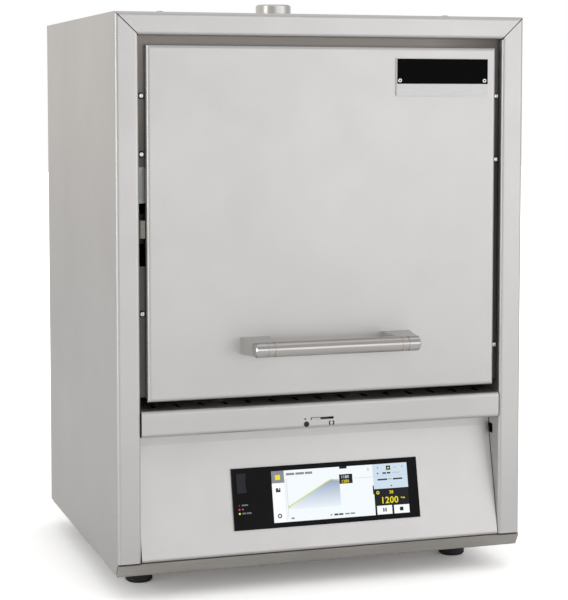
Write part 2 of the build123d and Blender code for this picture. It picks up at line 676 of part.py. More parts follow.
def thermocouple():
    tip = CHAMBER_BACK - 26
    y = BRICK_BACK + SHELL_GAP + SHELL_T
    head = block(PROBE_X - 12, PROBE_X + 12, y, y + 18, PROBE_Z - 9, PROBE_Z + 9)
    head = chamfer(head.edges().group_by(Axis.Y)[-1], 1.5)
    head -= block(PROBE_X - 9, PROBE_X - 1, y + 12, y + 20, PROBE_Z - 5, PROBE_Z + 5)
    head -= block(PROBE_X + 1, PROBE_X + 9, y + 12, y + 20, PROBE_Z - 5, PROBE_Z + 5)
    probe = rod_y(3.0, tip + 3, y + 0.5, PROBE_X, PROBE_Z)
    probe += Pos(PROBE_X, tip + 3, PROBE_Z) * Sphere(3.0)
    return head + probe


# Exhaust: ceramic tube, turned stub on the roof, lock nut under the roof
def exhaust_tube():
    tube = rod_z(TUBE_R, CHAMBER_TOP, TUBE_TOP, 0, EXHAUST_Y)
    tube -= rod_z(TUBE_R - 3, CHAMBER_TOP - 1, TUBE_TOP + 1, 0, EXHAUST_Y)
    return tube


def exhaust_stub():
    stub = rod_z(STUB_R, ROOF, ROOF + STUB_H, 0, EXHAUST_Y)
    stub = chamfer(stub.edges().sort_by(Axis.Z)[-1], 1.2)
    stub += rod_z(SPIGOT_R, ROOF - 17, ROOF + 0.5, 0, EXHAUST_Y)
    stub -= rod_z(EXHAUST_R, ROOF - 18, ROOF + STUB_H + 1, 0, EXHAUST_Y)
    stub -= rod_z(TUBE_R + 0.3, ROOF - 18, TUBE_TOP + 0.4, 0, EXHAUST_Y)
    return stub


def exhaust_nut():
    nut = extrude(RegularPolygon(radius=16.5, side_count=6), amount=5.6)
    nut -= Pos(0, 0, 3) * Cylinder(SPIGOT_R + 0.02, 12)
    return Pos(0, EXHAUST_Y, ROOF - T - 5.6) * nut


# Door skin: folded pan with corner reliefs
def door_pan():
    pan = block(-DOOR_HALF, DOOR_HALF, FRONT, FRONT + DOOR_EDGE, DOOR_BOT, DOOR_TOP)
    pan = fillet(pan.edges().group_by(Axis.Y)[0], BEND)
    hollow = block(-DOOR_HALF + T, DOOR_HALF - T, FRONT + T, FRONT + 9, DOOR_BOT + T, DOOR_TOP - T)
    pan -= fillet(hollow.edges().group_by(Axis.Y)[0], BEND - T)
    notch = 2.6
    for z0, z1 in ((DOOR_BOT - 1, DOOR_BOT + notch), (DOOR_TOP - notch, DOOR_TOP + 1)):
        pan -= pair(block(DOOR_HALF - notch, DOOR_HALF + 1, FRONT + 2.4, FRONT + 9, z0, z1))
    pan -= pair(rod_y(2.7, FRONT - 1, FRONT + 2, LEG_X, BAR_Z))
    return pan


def door_back_plate():
    edge = T + 0.3
    y = FRONT + DOOR_EDGE - T
    plate = block(-DOOR_HALF + edge, DOOR_HALF - edge, y, y + T, DOOR_BOT + edge, DOOR_TOP - edge)
    return fillet(plate.edges().filter_by(Axis.Y), 3.0)


def door_cassette():
    y = FRONT + DOOR_EDGE
    ring = block(-PLUG_HALF, PLUG_HALF, y, y + 24, PLUG_BOT, PLUG_TOP)
    ring = fillet(ring.edges().filter_by(Axis.Y), 4.0)
    ring -= block(-PLUG_HALF + 1, PLUG_HALF - 1, y + 1, y + 25, PLUG_BOT + 1, PLUG_TOP - 1)
    return ring


# Fibre plug of the door with the tapered boss that enters the chamber's mouth
def door_insulation():
    y = FRONT + DOOR_EDGE + 1
    plug = block(-PLUG_HALF + 1.2, PLUG_HALF - 1.2, y, COLLAR_Y - 1, PLUG_BOT + 1.2, PLUG_TOP - 1.2)
    rim = plug.edges().group_by(Axis.Y)[-1]
    plug = chamfer(rim, 2.0)
    x0 = MOUTH_W - 2 * BOSS_GAP
    z0 = MOUTH_H - 2 * BOSS_GAP - 1
    mid = CHAMBER_BOT + MOUTH_LIFT + MOUTH_H / 2
    root = Plane(origin=(0, COLLAR_Y - 1.5, mid), x_dir=(1, 0, 0), z_dir=(0, 1, 0)) * Rectangle(x0, z0)
    nose = Plane(origin=(0, COLLAR_Y + BOSS_D - 1, mid), x_dir=(1, 0, 0), z_dir=(0, 1, 0))
    return plug + loft([root, nose * Rectangle(x0 - 6, z0 - 6)])


# Door brackets: plate with the two pivot seats, flange against the back plate
def door_brackets():
    y0 = FRONT + DOOR_EDGE
    low_y = FRONT_Y
    z_a = FRONT_Z - ARM_L
    z_b = REAR_Z - ARM_L
    outline = [(y0, z_b - 12), (REAR_Y + 4, z_b - 12), (REAR_Y + 11, z_b - 4), (REAR_Y + 11, z_b + 8)]
    outline += [(low_y + 12, z_a + 8), (low_y + 6, z_a + 12), (y0, z_a + 12)]
    plate = prism_x(outline, BRACKET_X, BRACKET_X + BRACKET_T)
    x0 = BRACKET_X - 14.6
    plate += block(x0, BRACKET_X + 1, y0, y0 + 2.6, z_b - 12, z_a + 12)
    plate -= rod_x(PIN_R + SEAT, x0, ARM_X, FRONT_Y, z_a)
    plate -= rod_x(PIN_R + SEAT, x0, ARM_X, REAR_Y, z_b)
    plate -= rod_x(6.0, BRACKET_X - 1, ARM_X, (FRONT_Y + REAR_Y) / 2 - 4, (z_a + z_b) / 2 - 6)
    return pair(plate)


def door_pins():
    group = None
    for y, z in ((FRONT_Y, FRONT_Z - ARM_L), (REAR_Y, REAR_Z - ARM_L)):
        pin = rod_x(PIN_R, BRACKET_X, ARM_X + ARM_T + 0.2, y, z)
        pin += rod_x(PIN_R + 1.6, BRACKET_X + BRACKET_T, ARM_X - 0.15, y, z)
        pin += rod_x(PIN_R + 1.6, ARM_X + ARM_T + 0.2, ARM_X + ARM_T + 1.4, y, z)
        group = pin if group is None else group + pin
    return pair(group)


# Lift arms
def arm(y, z, top_r, low_r):
    strip = block(ARM_X, ARM_X + ARM_T, y - ARM_W / 2, y + ARM_W / 2, z - ARM_L, z)
    strip += rod_x(ARM_W / 2 + 1.5, ARM_X, ARM_X + ARM_T, y, z)
    strip += rod_x(ARM_W / 2, ARM_X, ARM_X + ARM_T, y, z - ARM_L)
    strip -= rod_x(top_r, ARM_X - 1, ARM_X + ARM_T + 1, y, z)
    strip -= rod_x(low_r, ARM_X - 1, ARM_X + ARM_T + 1, y, z - ARM_L)
    slot = block(ARM_X - 1, ARM_X + ARM_T + 1, y - 4, y + 4, z - ARM_L + 32, z - 32)
    return strip - slot


def front_arms():
    return pair(arm(FRONT_Y, FRONT_Z, SHAFT_R + SEAT, PIN_R + RUNNING))


def rear_arms():
    return pair(arm(REAR_Y, REAR_Z, PIN_R + RUNNING, PIN_R + OPEN_PIVOT))


def lift_shaft():
    end = BEARING_X + BEARING_T + 2.4
    shaft = rod_x(SHAFT_R, -end, end, FRONT_Y, FRONT_Z)
    shaft += pair(rod_x(SHAFT_R + 2.5, ARM_X - 7, ARM_X - 0.05, FRONT_Y, FRONT_Z))
    return chamfer(shaft.edges().sort_by(Axis.X)[-1], 0.6)


# Bearing plates of the linkage, screwed to the back of the face plate
def bearing_plates():
    x0 = BEARING_X
    x1 = BEARING_X + BEARING_T
    y0 = FACE_Y + T + 0.1
    z0 = DOOR_BOT + 17
    z1 = FRONT_Z + 14
    outline = [(y0, z0), (y0 + 12, z0), (y0 + 12, REAR_Z - 46), (REAR_Y + 13, REAR_Z - 16)]
    outline += [(REAR_Y + 13, REAR_Z + 16), (FRONT_Y + 14, z1), (y0, z1)]
    plate = prism_x(outline, x0, x1)
    plate += block(x1 - 1, POST_IN - 0.6, y0, y0 + 2.4, z0, z1)
    plate -= rod_x(SHAFT_R + 2.0, x0 - 1, x1 + 1, FRONT_Y, FRONT_Z)
    plate -= rod_x(PIN_R + SEAT, x0 - 1, x1 + 1, REAR_Y, REAR_Z)
    left = plate - block(x1, POST_IN, y0 - 1, y0 + 3, LATCH_LOW - 4, LATCH_Z + 20)
    right = plate
    for x, z in gap_screw_places():
        hole = rod_y(1.55, y0 - 1, y0 + 4, GAP_SCREW_X, z)
        if x < 0:
            left -= hole
        else:
            right -= hole
    return mirrored(left) + right


def shaft_bushes():
    bush = rod_x(SHAFT_R + 2.0 - SEAT, BEARING_X, BEARING_X + BEARING_T, FRONT_Y, FRONT_Z)
    bush += rod_x(SHAFT_R + 4.0, BEARING_X + BEARING_T, BEARING_X + BEARING_T + 1.4, FRONT_Y, FRONT_Z)
    bush -= rod_x(SHAFT_R + RUNNING, BEARING_X - 1, BEARING_X + BEARING_T + 3, FRONT_Y, FRONT_Z)
    return pair(bush)


def arm_pins():
    pin = rod_x(PIN_R, ARM_X - 0.3, BEARING_X + BEARING_T + 1.6, REAR_Y, REAR_Z)
    pin += rod_x(PIN_R + 2.2, ARM_X - 1.2, ARM_X - 0.2, REAR_Y, REAR_Z)
    return pair(pin)


def friction_washers():
    gap0 = ARM_X + ARM_T + 0.1
    gap1 = BEARING_X - 0.05
    front = rod_x(SHAFT_R + 4.5, gap0, gap1, FRONT_Y, FRONT_Z)
    front -= rod_x(SHAFT_R + 0.1, gap0 - 1, gap1 + 1, FRONT_Y, FRONT_Z)
    rear = rod_x(PIN_R + 4.5, gap0, gap1, REAR_Y, REAR_Z)
    rear -= rod_x(PIN_R + 0.02, gap0 - 1, gap1 + 1, REAR_Y, REAR_Z)
    return pair(front) + pair(rear)


# Handle: bar, end caps, flared legs
LEG_X = BAR_HALF - 9.0


def handle_bar():
    inner = BAR_HALF - CAP_L
    bar = rod_x(BAR_R, -inner + RING_L, inner - RING_L, BAR_Y, BAR_Z)
    bar += rod_x(BAR_R - 0.5, -inner - 4, inner + 4, BAR_Y, BAR_Z)
    bar += pair(rod_x(BAR_R - 0.15, inner - RING_L + 0.5, inner - 0.5, BAR_Y, BAR_Z))
    return bar


def handle_caps():
    inner = BAR_HALF - CAP_L
    cap = rod_x(BAR_R, inner, BAR_HALF, BAR_Y, BAR_Z)
    cap = chamfer(cap.edges().sort_by(Axis.X)[-1], 0.9)
    cap -= rod_x(BAR_R - 0.5 + SEAT, inner - 1, inner + 4.02, BAR_Y, BAR_Z)
    return pair(cap)


def handle_legs():
    base = Plane(origin=(LEG_X, FRONT, BAR_Z), x_dir=(1, 0, 0), z_dir=(0, -1, 0))
    near = Plane(origin=(LEG_X + 0.6, BAR_Y + 2.5, BAR_Z), x_dir=(1, 0, 0), z_dir=(0, -1, 0))
    leg = loft([base * Rectangle(24, 13.6), near * Rectangle(16, 10.6)])
    leg -= rod_x(BAR_R + 0.02, LEG_X - 20, LEG_X + 20, BAR_Y, BAR_Z)
    leg -= rod_y(2.2, FRONT - 12, FRONT + 1, LEG_X, BAR_Z)
    return pair(leg)


# Bare plate on the door, dark above and silver below, held by two rivets
PLATE_X1 = DOOR_HALF - 7.8
PLATE_X0 = PLATE_X1 - 79.4
PLATE_Z1 = DOOR_TOP - 8.8
PLATE_Z0 = PLATE_Z1 - 30.3
PLATE_SPLIT = PLATE_Z1 - 20.7
PLATE_T = 1.0
RIVET_IN = 3.0


def nameplate():
    plate = block(PLATE_X0, PLATE_X1, FRONT - PLATE_T, FRONT, PLATE_Z0, PLATE_Z1)
    plate = fillet(plate.edges().filter_by(Axis.Y), 0.6)
    for x in (PLATE_X0 + RIVET_IN, PLATE_X1 - RIVET_IN):
        plate -= rod_y(1.0, FRONT - 2, FRONT + 1, x, PLATE_SPLIT + 2.7)
    return plate


def plate_rivets():
    group = []
    for x in (PLATE_X0 + RIVET_IN, PLATE_X1 - RIVET_IN):
        rivet = rod_y(1.7, FRONT - PLATE_T - 0.7, FRONT - PLATE_T, x, PLATE_SPLIT + 2.7)
        rivet = fillet(rivet.edges().sort_by(Axis.Y)[0], 0.5)
        rivet += rod_y(0.95, FRONT - PLATE_T - 0.1, FRONT, x, PLATE_SPLIT + 2.7)
        group.append(rivet)
    return Compound(children=[Part(g.wrapped) for g in group])


# Rear electrics: inlet with a well for the rocker switch, rocker, fan
def inlet_frame():
    face = REAR - T - 0.2
    body_x = MODULE_HALF - 2
    z0 = SOCKET_Z - 13.4
    z1 = SOCKET_Z + 13.4
    frame = block(MODULE_X - body_x, MODULE_X + body_x, face - 28, face + 0.5, z0, z1)
    flange = block(MODULE_X - MODULE_HALF, MODULE_X + MODULE_HALF, face, face + 3, z0 - 2.1, z1 + 2.1)
    flange = fillet(flange.edges().filter_by(Axis.Y), 4.0)
    frame += chamfer(flange.edges().group_by(Axis.Y)[-1], 0.8)
    mouth = [(-12.0, -9.0), (12.0, -9.0), (12.0, 4.5), (7.5, 9.0), (-7.5, 9.0), (-12.0, 4.5)]
    frame -= prism_y([(INLET_X + x, SOCKET_Z + z) for x, z in mouth], face - 20, face + 4)
    for dx, dz in ((-7.0, -1.5), (0.0, 2.5), (7.0, -1.5)):
        x = INLET_X + dx
        z = SOCKET_Z + dz
        frame += block(x - 1, x + 1, face - 21, face - 4, z - 3, z + 3)
    frame -= block(SWITCH_X - 9, SWITCH_X + 9, face - 16, face + 4, SOCKET_Z - 12, SOCKET_Z + 12)
    frame -= rod_x(1.5 + RUNNING, SWITCH_X - 9.8, SWITCH_X + 9.8, face - 4, SOCKET_Z)
    return frame


def rocker():
    face = REAR - T - 0.2
    key = [(-9.0, -7.0), (3.5, -10.6), (1.2, 0.0), (3.5, 10.6), (-9.0, 7.0)]
    body = prism_x(key, SWITCH_X - 8.8, SWITCH_X + 8.8)
    body += rod_x(1.5, SWITCH_X - 9.7, SWITCH_X + 9.7, 0, 0)
    return Pos(0, face - 4, SOCKET_Z) * Pos(SWITCH_X, 0, 0) * Rot(-9, 0, 0) * Pos(-SWITCH_X, 0, 0) * body


def fan_frame():
    back = REAR - 2 * T - 0.3
    front = back - FAN_D
    h = FAN_SIZE / 2
    frame = block(FAN_X - h, FAN_X + h, front, back, FAN_Z - h, FAN_Z + h)
    frame = fillet(frame.edges().filter_by(Axis.Y), 4.0)
    frame -= rod_y(h - 1.5, front - 1, back + 1, FAN_X, FAN_Z)
    for angle in (0, 120, 240):
        spoke = block(-2, 2, front, front + 3, 8, h - 1)
        frame += Pos(FAN_X, 0, FAN_Z) * Rot(0, angle, 0) * spoke
    frame += rod_y(11.0, front, front + 4, FAN_X, FAN_Z)
    frame += rod_y(2.0, front + 3, front + 14, FAN_X, FAN_Z)
    for x in (-h + 5, h - 5):
        for z in (-h + 5, h - 5):
            frame -= rod_y(2.1, front - 1, back + 1, FAN_X + x, FAN_Z + z)
    return frame


def fan_rotor():
    back = REAR - 2 * T - 0.3
    y0 = back - FAN_D + 5
    y1 = back - 1.5
    rotor = rod_y(12.0, y0, y1, 0, 0)
    for k in range(7):
        blade = Pos(0, (y0 + y1) / 2, 19.0) * Rot(0, 0, 38) * Box(1.4, 22, 17)
        rotor += Rot(0, 360 / 7 * k, 0) * blade
    rotor &= rod_y(FAN_SIZE / 2 - 2.6, y0 + 0.5, y1, 0, 0)
    rotor -= rod_y(2.0 + RUNNING, y0 - 1, y0 + 12, 0, 0)
    return Pos(FAN_X, 0, FAN_Z) * rotor


def fan_guard():
    face = REAR - T - 0.2
    guard = rod_y(3.0, face + 3, face + 4.6, 0, 0)
    for r in (9.0, 16.0, 23.0):
        guard += rod_y(r + 0.8, face + 3, face + 4.6, 0, 0) - rod_y(r - 0.8, face + 2, face + 6, 0, 0)
    reach = FAN_SIZE / 2 - 5
    for angle in (45, 135, 225, 315):
        far = reach * math.sqrt(2)
        arm_bar = block(-0.8, 0.8, face + 1.6, face + 3.2, 0, far)
        arm_bar += rod_y(4.0, face, face + 1.8, 0, far)
        arm_bar += block(-0.8, 0.8, face + 1.0, face + 3.2, far - 4, far)
        arm_bar -= rod_y(2.0, face - 1, face + 5, 0, far)
        guard += Rot(0, angle, 0) * arm_bar
    return Pos(FAN_X, 0, FAN_Z) * guard


# Electrics on the base: power board on four posts, with transformer, relay, terminals,
# capacitors and filter
def power_board():
    floor = FOOT_H + T
    y = FRONT + 84
    board = block(-70, 40, y, y + 110, floor + 8, floor + 9.6)
    for x in (-64, 34):
        for step in (6, 104):
            board += rod_z(3.0, floor, floor + 8.1, x, y + step)
    board += block(-60, -30, y + 10, y + 40, floor + 9.5, floor + 34)
    board += block(-22, -4, y + 8, y + 36, floor + 9.5, floor + 25)
    board += block(-60, -12, y + 84, y + 100, floor + 9.5, floor + 22)
    for i in range(3):
        board += rod_z(6.0, floor + 9.5, floor + 32, 8, y + 12 + 16.0 * i)
    board += block(-20, 26, y + 58, y + 76, floor + 9.5, floor + 16)
    return board


os.makedirs("parts", exist_ok=True)


def write(name, shape):
    export_step(shape, "parts/" + name + ".step")


right_panel = side_panel()
write("base_tray", base_tray())
write("feet", at_feet(one_foot()))
write("foot_screws", at_feet(one_foot_screw()))
write("side_panel_right", right_panel)
write("side_panel_left", mirrored(right_panel))
write("top_cover", top_cover())
write("top_screws", top_screws())
write("rear_panel", rear_panel())
write("rear_cover", rear_cover())
write("pan_screws", pan_screws())
write("middle_rail", middle_rail())
write("air_slider", air_slider())
write("slider_guide", slider_guide())
write("control_panel", control_panel())
write("display_bezel", display_bezel())
write("display_screen", display_screen())
write("display_board", display_board())
write("status_lamps", status_lamps())
write("usb_flap", usb_flap())
write("face_plate", face_plate())
write("door_switch", door_switch())
write("deck_plate", deck_plate())
write("inner_shell", inner_shell())
write("insulation_floor", insulation_floor())
write("insulation_roof", insulation_roof())
write("insulation_sides", insulation_sides())
write("insulation_rear", insulation_rear())
write("chamber_collar", chamber_collar())
write("hearth_plate", hearth_plate())
write("heater_rods", heater_rods())
write("rod_clamps", rod_clamps())
write("thermocouple", thermocouple())
write("exhaust_tube", exhaust_tube())
write("exhaust_stub", exhaust_stub())
write("exhaust_nut", exhaust_nut())
write("door_pan", door_pan())
write("door_back_plate", door_back_plate())
write("door_cassette", door_cassette())
write("door_insulation", door_insulation())
write("door_brackets", door_brackets())
write("door_pins", door_pins())
write("front_arms", front_arms())
write("rear_arms", rear_arms())
write("lift_shaft", lift_shaft())
write("bearing_plates", bearing_plates())
write("shaft_bushes", shaft_bushes())
write("arm_pins", arm_pins())
write("friction_washers", friction_washers())
write("handle_bar", handle_bar())
write("handle_caps", handle_caps())
write("handle_legs", handle_legs())
write("nameplate", nameplate())
write("plate_rivets", plate_rivets())
write("inlet_frame", inlet_frame())
write("rocker", rocker())
write("fan_frame", fan_frame())
write("fan_rotor", fan_rotor())
write("fan_guard", fan_guard())
write("power_board", power_board())
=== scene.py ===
import json
import math

import bmesh
import bpy
from mathutils import Euler, Matrix, Vector


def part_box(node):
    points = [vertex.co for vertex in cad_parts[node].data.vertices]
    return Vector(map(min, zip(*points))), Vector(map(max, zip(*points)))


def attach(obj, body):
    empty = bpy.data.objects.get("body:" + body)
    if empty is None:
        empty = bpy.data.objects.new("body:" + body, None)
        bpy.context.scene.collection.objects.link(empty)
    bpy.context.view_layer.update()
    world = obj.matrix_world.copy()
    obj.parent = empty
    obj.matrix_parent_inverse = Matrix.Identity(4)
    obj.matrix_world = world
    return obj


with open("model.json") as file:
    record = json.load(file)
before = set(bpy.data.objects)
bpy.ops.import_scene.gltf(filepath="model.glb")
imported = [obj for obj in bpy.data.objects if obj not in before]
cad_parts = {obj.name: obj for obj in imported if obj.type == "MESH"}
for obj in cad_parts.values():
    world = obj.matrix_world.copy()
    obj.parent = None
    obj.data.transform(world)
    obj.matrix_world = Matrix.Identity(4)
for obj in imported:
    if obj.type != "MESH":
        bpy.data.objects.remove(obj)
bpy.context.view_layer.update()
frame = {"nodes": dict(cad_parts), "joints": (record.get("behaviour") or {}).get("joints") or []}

nodes = frame["nodes"]
MM = 0.001


# Casing: side panels with their front posts, roof, middle rail, slanted panel and door skin.
# Type 304 stainless sheet, 1.2 mm, its surface embossed with a fine linen pattern by a roller,
# cut, folded on a press brake and screwed together from the rear.
SHEET_COLOUR = "#D0CECC"
SHEET_ROUGHNESS = 0.42
LINEN_PITCH = 2.4 * MM
LINEN_DEPTH = 0.06 * MM


def linear(hex_colour):
    channels = []
    for start in (1, 3, 5):
        value = int(hex_colour[start:start + 2], 16) / 255
        channels.append(value / 12.92 if value <= 0.04045 else ((value + 0.055) / 1.055) ** 2.4)
    return (*channels, 1.0)


def shade(hex_colour, factor):
    red, green, blue, alpha = linear(hex_colour)
    return (red * factor, green * factor, blue * factor, alpha)


def new_material(name):
    material = bpy.data.materials.new(name)
    material.use_nodes = True
    tree = material.node_tree
    return material, tree, tree.nodes["Principled BSDF"]


def link(tree, node, **sources):
    # A source is named by the input's label, or by its number after the letter i. Where a
    # node is given, its first output is meant.
    for name, source in sources.items():
        key = int(name[1:]) if name[0] == "i" and name[1:].isdigit() else name.replace("_", " ")
        output = source.outputs[0] if isinstance(source, bpy.types.Node) else source
        tree.links.new(output, node.inputs[key])


def add_node(tree, kind, settings, **sources):
    # A setting is an input's number or label, a property, or the stops of a colour ramp
    node = tree.nodes.new("ShaderNode" + kind)
    for key, value in settings.items():
        if key == "stops":
            elements = node.color_ramp.elements
            while len(elements) < len(value):
                elements.new(0.5)
            for element, (place, colour) in zip(elements, value):
                element.position = place
                element.color = colour
        elif isinstance(key, int) or key in node.inputs:
            node.inputs[key].default_value = value
        else:
            setattr(node, key, value)
    link(tree, node, **sources)
    return node


def axes_of(tree, output):
    # Object gives a point's place on the furnace in metres, Normal the way its face points
    place = add_node(tree, "TexCoord", {}).outputs[output]
    return add_node(tree, "SeparateXYZ", {}, Vector=place).outputs


def unevenness(tree, size, stretch=(1, 1, 1), detail=4.0):
    # A random pattern whose patches are about as wide as size, and longer where stretched
    place = add_node(tree, "TexCoord", {}).outputs["Object"]
    scaled = add_node(tree, "Mapping", {"Scale": tuple(1 / s for s in stretch)}, Vector=place)
    return add_node(tree, "TexNoise", {"Scale": 1 / size, "Detail": detail}, Vector=scaled)


def blend(tree, first, second, share):
    # The first pattern's share, and the rest of the second
    rest = add_node(tree, "Math", {"operation": "MULTIPLY", 1: 1 - share}, i0=second)
    return add_node(tree, "Math", {"operation": "MULTIPLY_ADD", 1: share}, i0=first, i2=rest)


def linen_weave(tree):
    # Two sets of slanting ribs that cross, laid out along each face's own plane
    x, y, z = axes_of(tree, "Object")
    upward = add_node(tree, "Math", {"operation": "ABSOLUTE"}, i0=axes_of(tree, "Normal")[2])
    flat = add_node(tree, "Math", {"operation": "GREATER_THAN", 1: 0.7}, i0=upward)
    along_wall = add_node(tree, "Math", {"operation": "ADD"}, i0=x, i1=y)
    across = add_node(tree, "Mix", {}, i0=flat, i2=along_wall, i3=x)
    up = add_node(tree, "Mix", {}, i0=flat, i2=z, i3=y)
    ribs = []
    for run in (across, up):
        turns = add_node(tree, "Math", {"operation": "MULTIPLY", 1: 2 * math.pi / LINEN_PITCH}, i0=run)
        ribs.append(add_node(tree, "Math", {"operation": "SINE"}, i0=turns))
    crossed = add_node(tree, "Math", {"operation": "MULTIPLY"}, i0=ribs[0], i1=ribs[1])
    return add_node(tree, "Math", {"operation": "MULTIPLY_ADD", 1: 0.5, 2: 0.5}, i0=crossed)


def textured_stainless(name):
    # Matt at a distance; close by, rows of tiny raised lozenges that catch the light. They
    # are about 1 mm wide on the real sheet and drawn at 1.2 mm, so that they show.
    material, tree, bsdf = new_material(name)
    bsdf.inputs["Metallic"].default_value = 0.9
    linen = linen_weave(tree)
    tone = blend(tree, unevenness(tree, 90 * MM, detail=2.0), linen, 0.6)
    greys = ((0.25, shade(SHEET_COLOUR, 0.94)), (0.75, shade(SHEET_COLOUR, 1.05)))
    colour = add_node(tree, "ValToRGB", {"stops": greys}, Fac=tone)
    limits = {"To Min": SHEET_ROUGHNESS - 0.04, "To Max": SHEET_ROUGHNESS + 0.04}
    rough = add_node(tree, "MapRange", limits, Value=unevenness(tree, 25 * MM))
    relief = add_node(tree, "Bump", {"Distance": LINEN_DEPTH, "Strength": 0.5}, Height=linen)
    link(tree, bsdf, Base_Color=colour, Roughness=rough, Normal=relief)
    return material


def dress(material, *names):
    for name in names:
        piece = nodes[name]
        piece.data.materials.clear()
        piece.data.materials.append(material)


sheet_metal = textured_stainless("linen textured stainless sheet")
dress(sheet_metal, "side_panel_left", "side_panel_right", "top_cover", "control_panel", "door_pan")
dress(sheet_metal, "handle_legs")


# Middle rail with its slotted shelf: the casing's sheet. The walls of its slots, and its other
# upright faces behind the bend, are painted near black as shade.
RAIL_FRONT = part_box("middle_rail")[0].y


def paint_shade_or_reflection(material, hex_colour, unpainted_share):
    # The surface keeps its own colour where unpainted_share is 1 and takes the painted dark colour where it
    # is 0. The dark colour stands for shade or a dark reflection.
    tree = material.node_tree
    bsdf = tree.nodes["Principled BSDF"]
    own = bsdf.inputs["Base Color"].links[0].from_socket
    colour = add_node(tree, "Mix", {"data_type": "RGBA", 6: linear(hex_colour)}, i0=unpainted_share, i7=own)
    link(tree, bsdf, Base_Color=colour.outputs[2])


def shelf_with_shaded_slots():
    material = textured_stainless("textured stainless with slots painted in shade")
    tree = material.node_tree
    depth = axes_of(tree, "Object")[1]
    upward = add_node(tree, "Math", {"operation": "ABSOLUTE"}, i0=axes_of(tree, "Normal")[2])
    level_face = add_node(tree, "Math", {"operation": "GREATER_THAN", 1: 0.5}, i0=upward)
    at_bend = add_node(tree, "Math", {"operation": "LESS_THAN", 1: RAIL_FRONT + 4 * MM}, i0=depth)
    # Painted shade: upright faces behind the bend, the slot walls among them, take the near-black colour
    unpainted_share = add_node(tree, "Math", {"operation": "MAXIMUM"}, i0=level_face, i1=at_bend)
    paint_shade_or_reflection(material, "#1C1A19", unpainted_share)
    return material


dress(shelf_with_shaded_slots(), "middle_rail")


# Base tray, and the stainless sheets at the rear and inside the door. Plain 304 stainless sheet
# with a linished finish, the grain running across the furnace, folded and spot-welded.
LINISHED_COLOUR = "#C0BCB6"


def linished_stainless(name, hex_colour, low, high):
    # Fine straight scratches from the abrasive belt, a little uneven in depth. The grit leaves
    # them about 0.2 mm apart; they are drawn at 0.7 mm, so that they show.
    material, tree, bsdf = new_material(name)
    bsdf.inputs["Metallic"].default_value = 1.0
    grain = unevenness(tree, 0.7 * MM, stretch=(60, 1, 1), detail=3.0)
    patches = unevenness(tree, 30 * MM, stretch=(3, 1, 1), detail=2.0)
    tone = blend(tree, grain, patches, 0.6)
    greys = ((0.3, shade(hex_colour, 0.84)), (0.7, shade(hex_colour, 1.1)))
    colour = add_node(tree, "ValToRGB", {"stops": greys}, Fac=tone)
    rough = add_node(tree, "MapRange", {"To Min": low, "To Max": high}, Value=tone)
    relief = add_node(tree, "Bump", {"Distance": 0.02 * MM}, Height=grain)
    link(tree, bsdf, Base_Color=colour, Roughness=rough, Normal=relief)
    return material


linished = linished_stainless("linished stainless sheet", LINISHED_COLOUR, 0.3, 0.5)
dress(linished, "base_tray", "door_back_plate", "door_cassette", "rear_cover", "rear_panel")


# Face plate behind the door, seen in the gap round it: plain stainless sheet, screwed to the
# inner shell, coloured a dull grey-brown and painted darker low down and at right as shade.
def face_plate_with_painted_shade():
    material = linished_stainless("dull stainless sheet with painted shade", "#8E8883", 0.38, 0.6)
    tree = material.node_tree
    axes = axes_of(tree, "Object")
    low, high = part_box("face_plate")
    # Painted shade: the plate darkens low down and towards its right edge
    limits = {"From Min": high.z - 110 * MM, "From Max": high.z - 20 * MM, "To Min": 0.4, "To Max": 1.0}
    up = add_node(tree, "MapRange", limits, Value=axes[2])
    limits = {"From Min": high.x - 60 * MM, "From Max": high.x, "To Min": 1.0, "To Max": 0.4}
    right = add_node(tree, "MapRange", limits, Value=axes[0])
    paint_shade_or_reflection(material, "#1F1D1C", add_node(tree, "Math", {"operation": "MULTIPLY"}, i0=up, i1=right))
    return material


dress(face_plate_with_painted_shade(), "face_plate")


# Deck, inner shell and bearing plates: hot-dip galvanised steel, seen only with the door up
# or through the slots, folded and riveted.
ZINC_COLOUR = "#A3A5A4"


def galvanised_steel():
    # Frosted grey with crystal patches 6 to 10 mm across, each turned its own way
    material, tree, bsdf = new_material("galvanised steel")
    bsdf.inputs["Metallic"].default_value = 1.0
    place = add_node(tree, "TexCoord", {}).outputs["Object"]
    cells = add_node(tree, "TexVoronoi", {"Scale": 1 / (8 * MM)}, Vector=place)
    crystal = add_node(tree, "SeparateColor", {}, Color=cells.outputs["Color"])
    greys = ((0.0, shade(ZINC_COLOUR, 0.78)), (1.0, shade(ZINC_COLOUR, 1.12)))
    colour = add_node(tree, "ValToRGB", {"stops": greys}, Fac=crystal)
    rough = add_node(tree, "MapRange", {"To Min": 0.38, "To Max": 0.62}, Value=crystal)
    relief = add_node(tree, "Bump", {"Distance": 0.02 * MM}, Height=unevenness(tree, 1.2 * MM))
    link(tree, bsdf, Base_Color=colour, Roughness=rough, Normal=relief)
    return material


dress(galvanised_steel(), "deck_plate", "inner_shell", "bearing_plates", "slider_guide", "door_brackets")


# Fasteners, pins, shaft and lift arms: carbon steel parts, turned, ground or pressed, then
# bright zinc or nickel plated.
BRIGHT_COLOUR = "#CFCFCC"


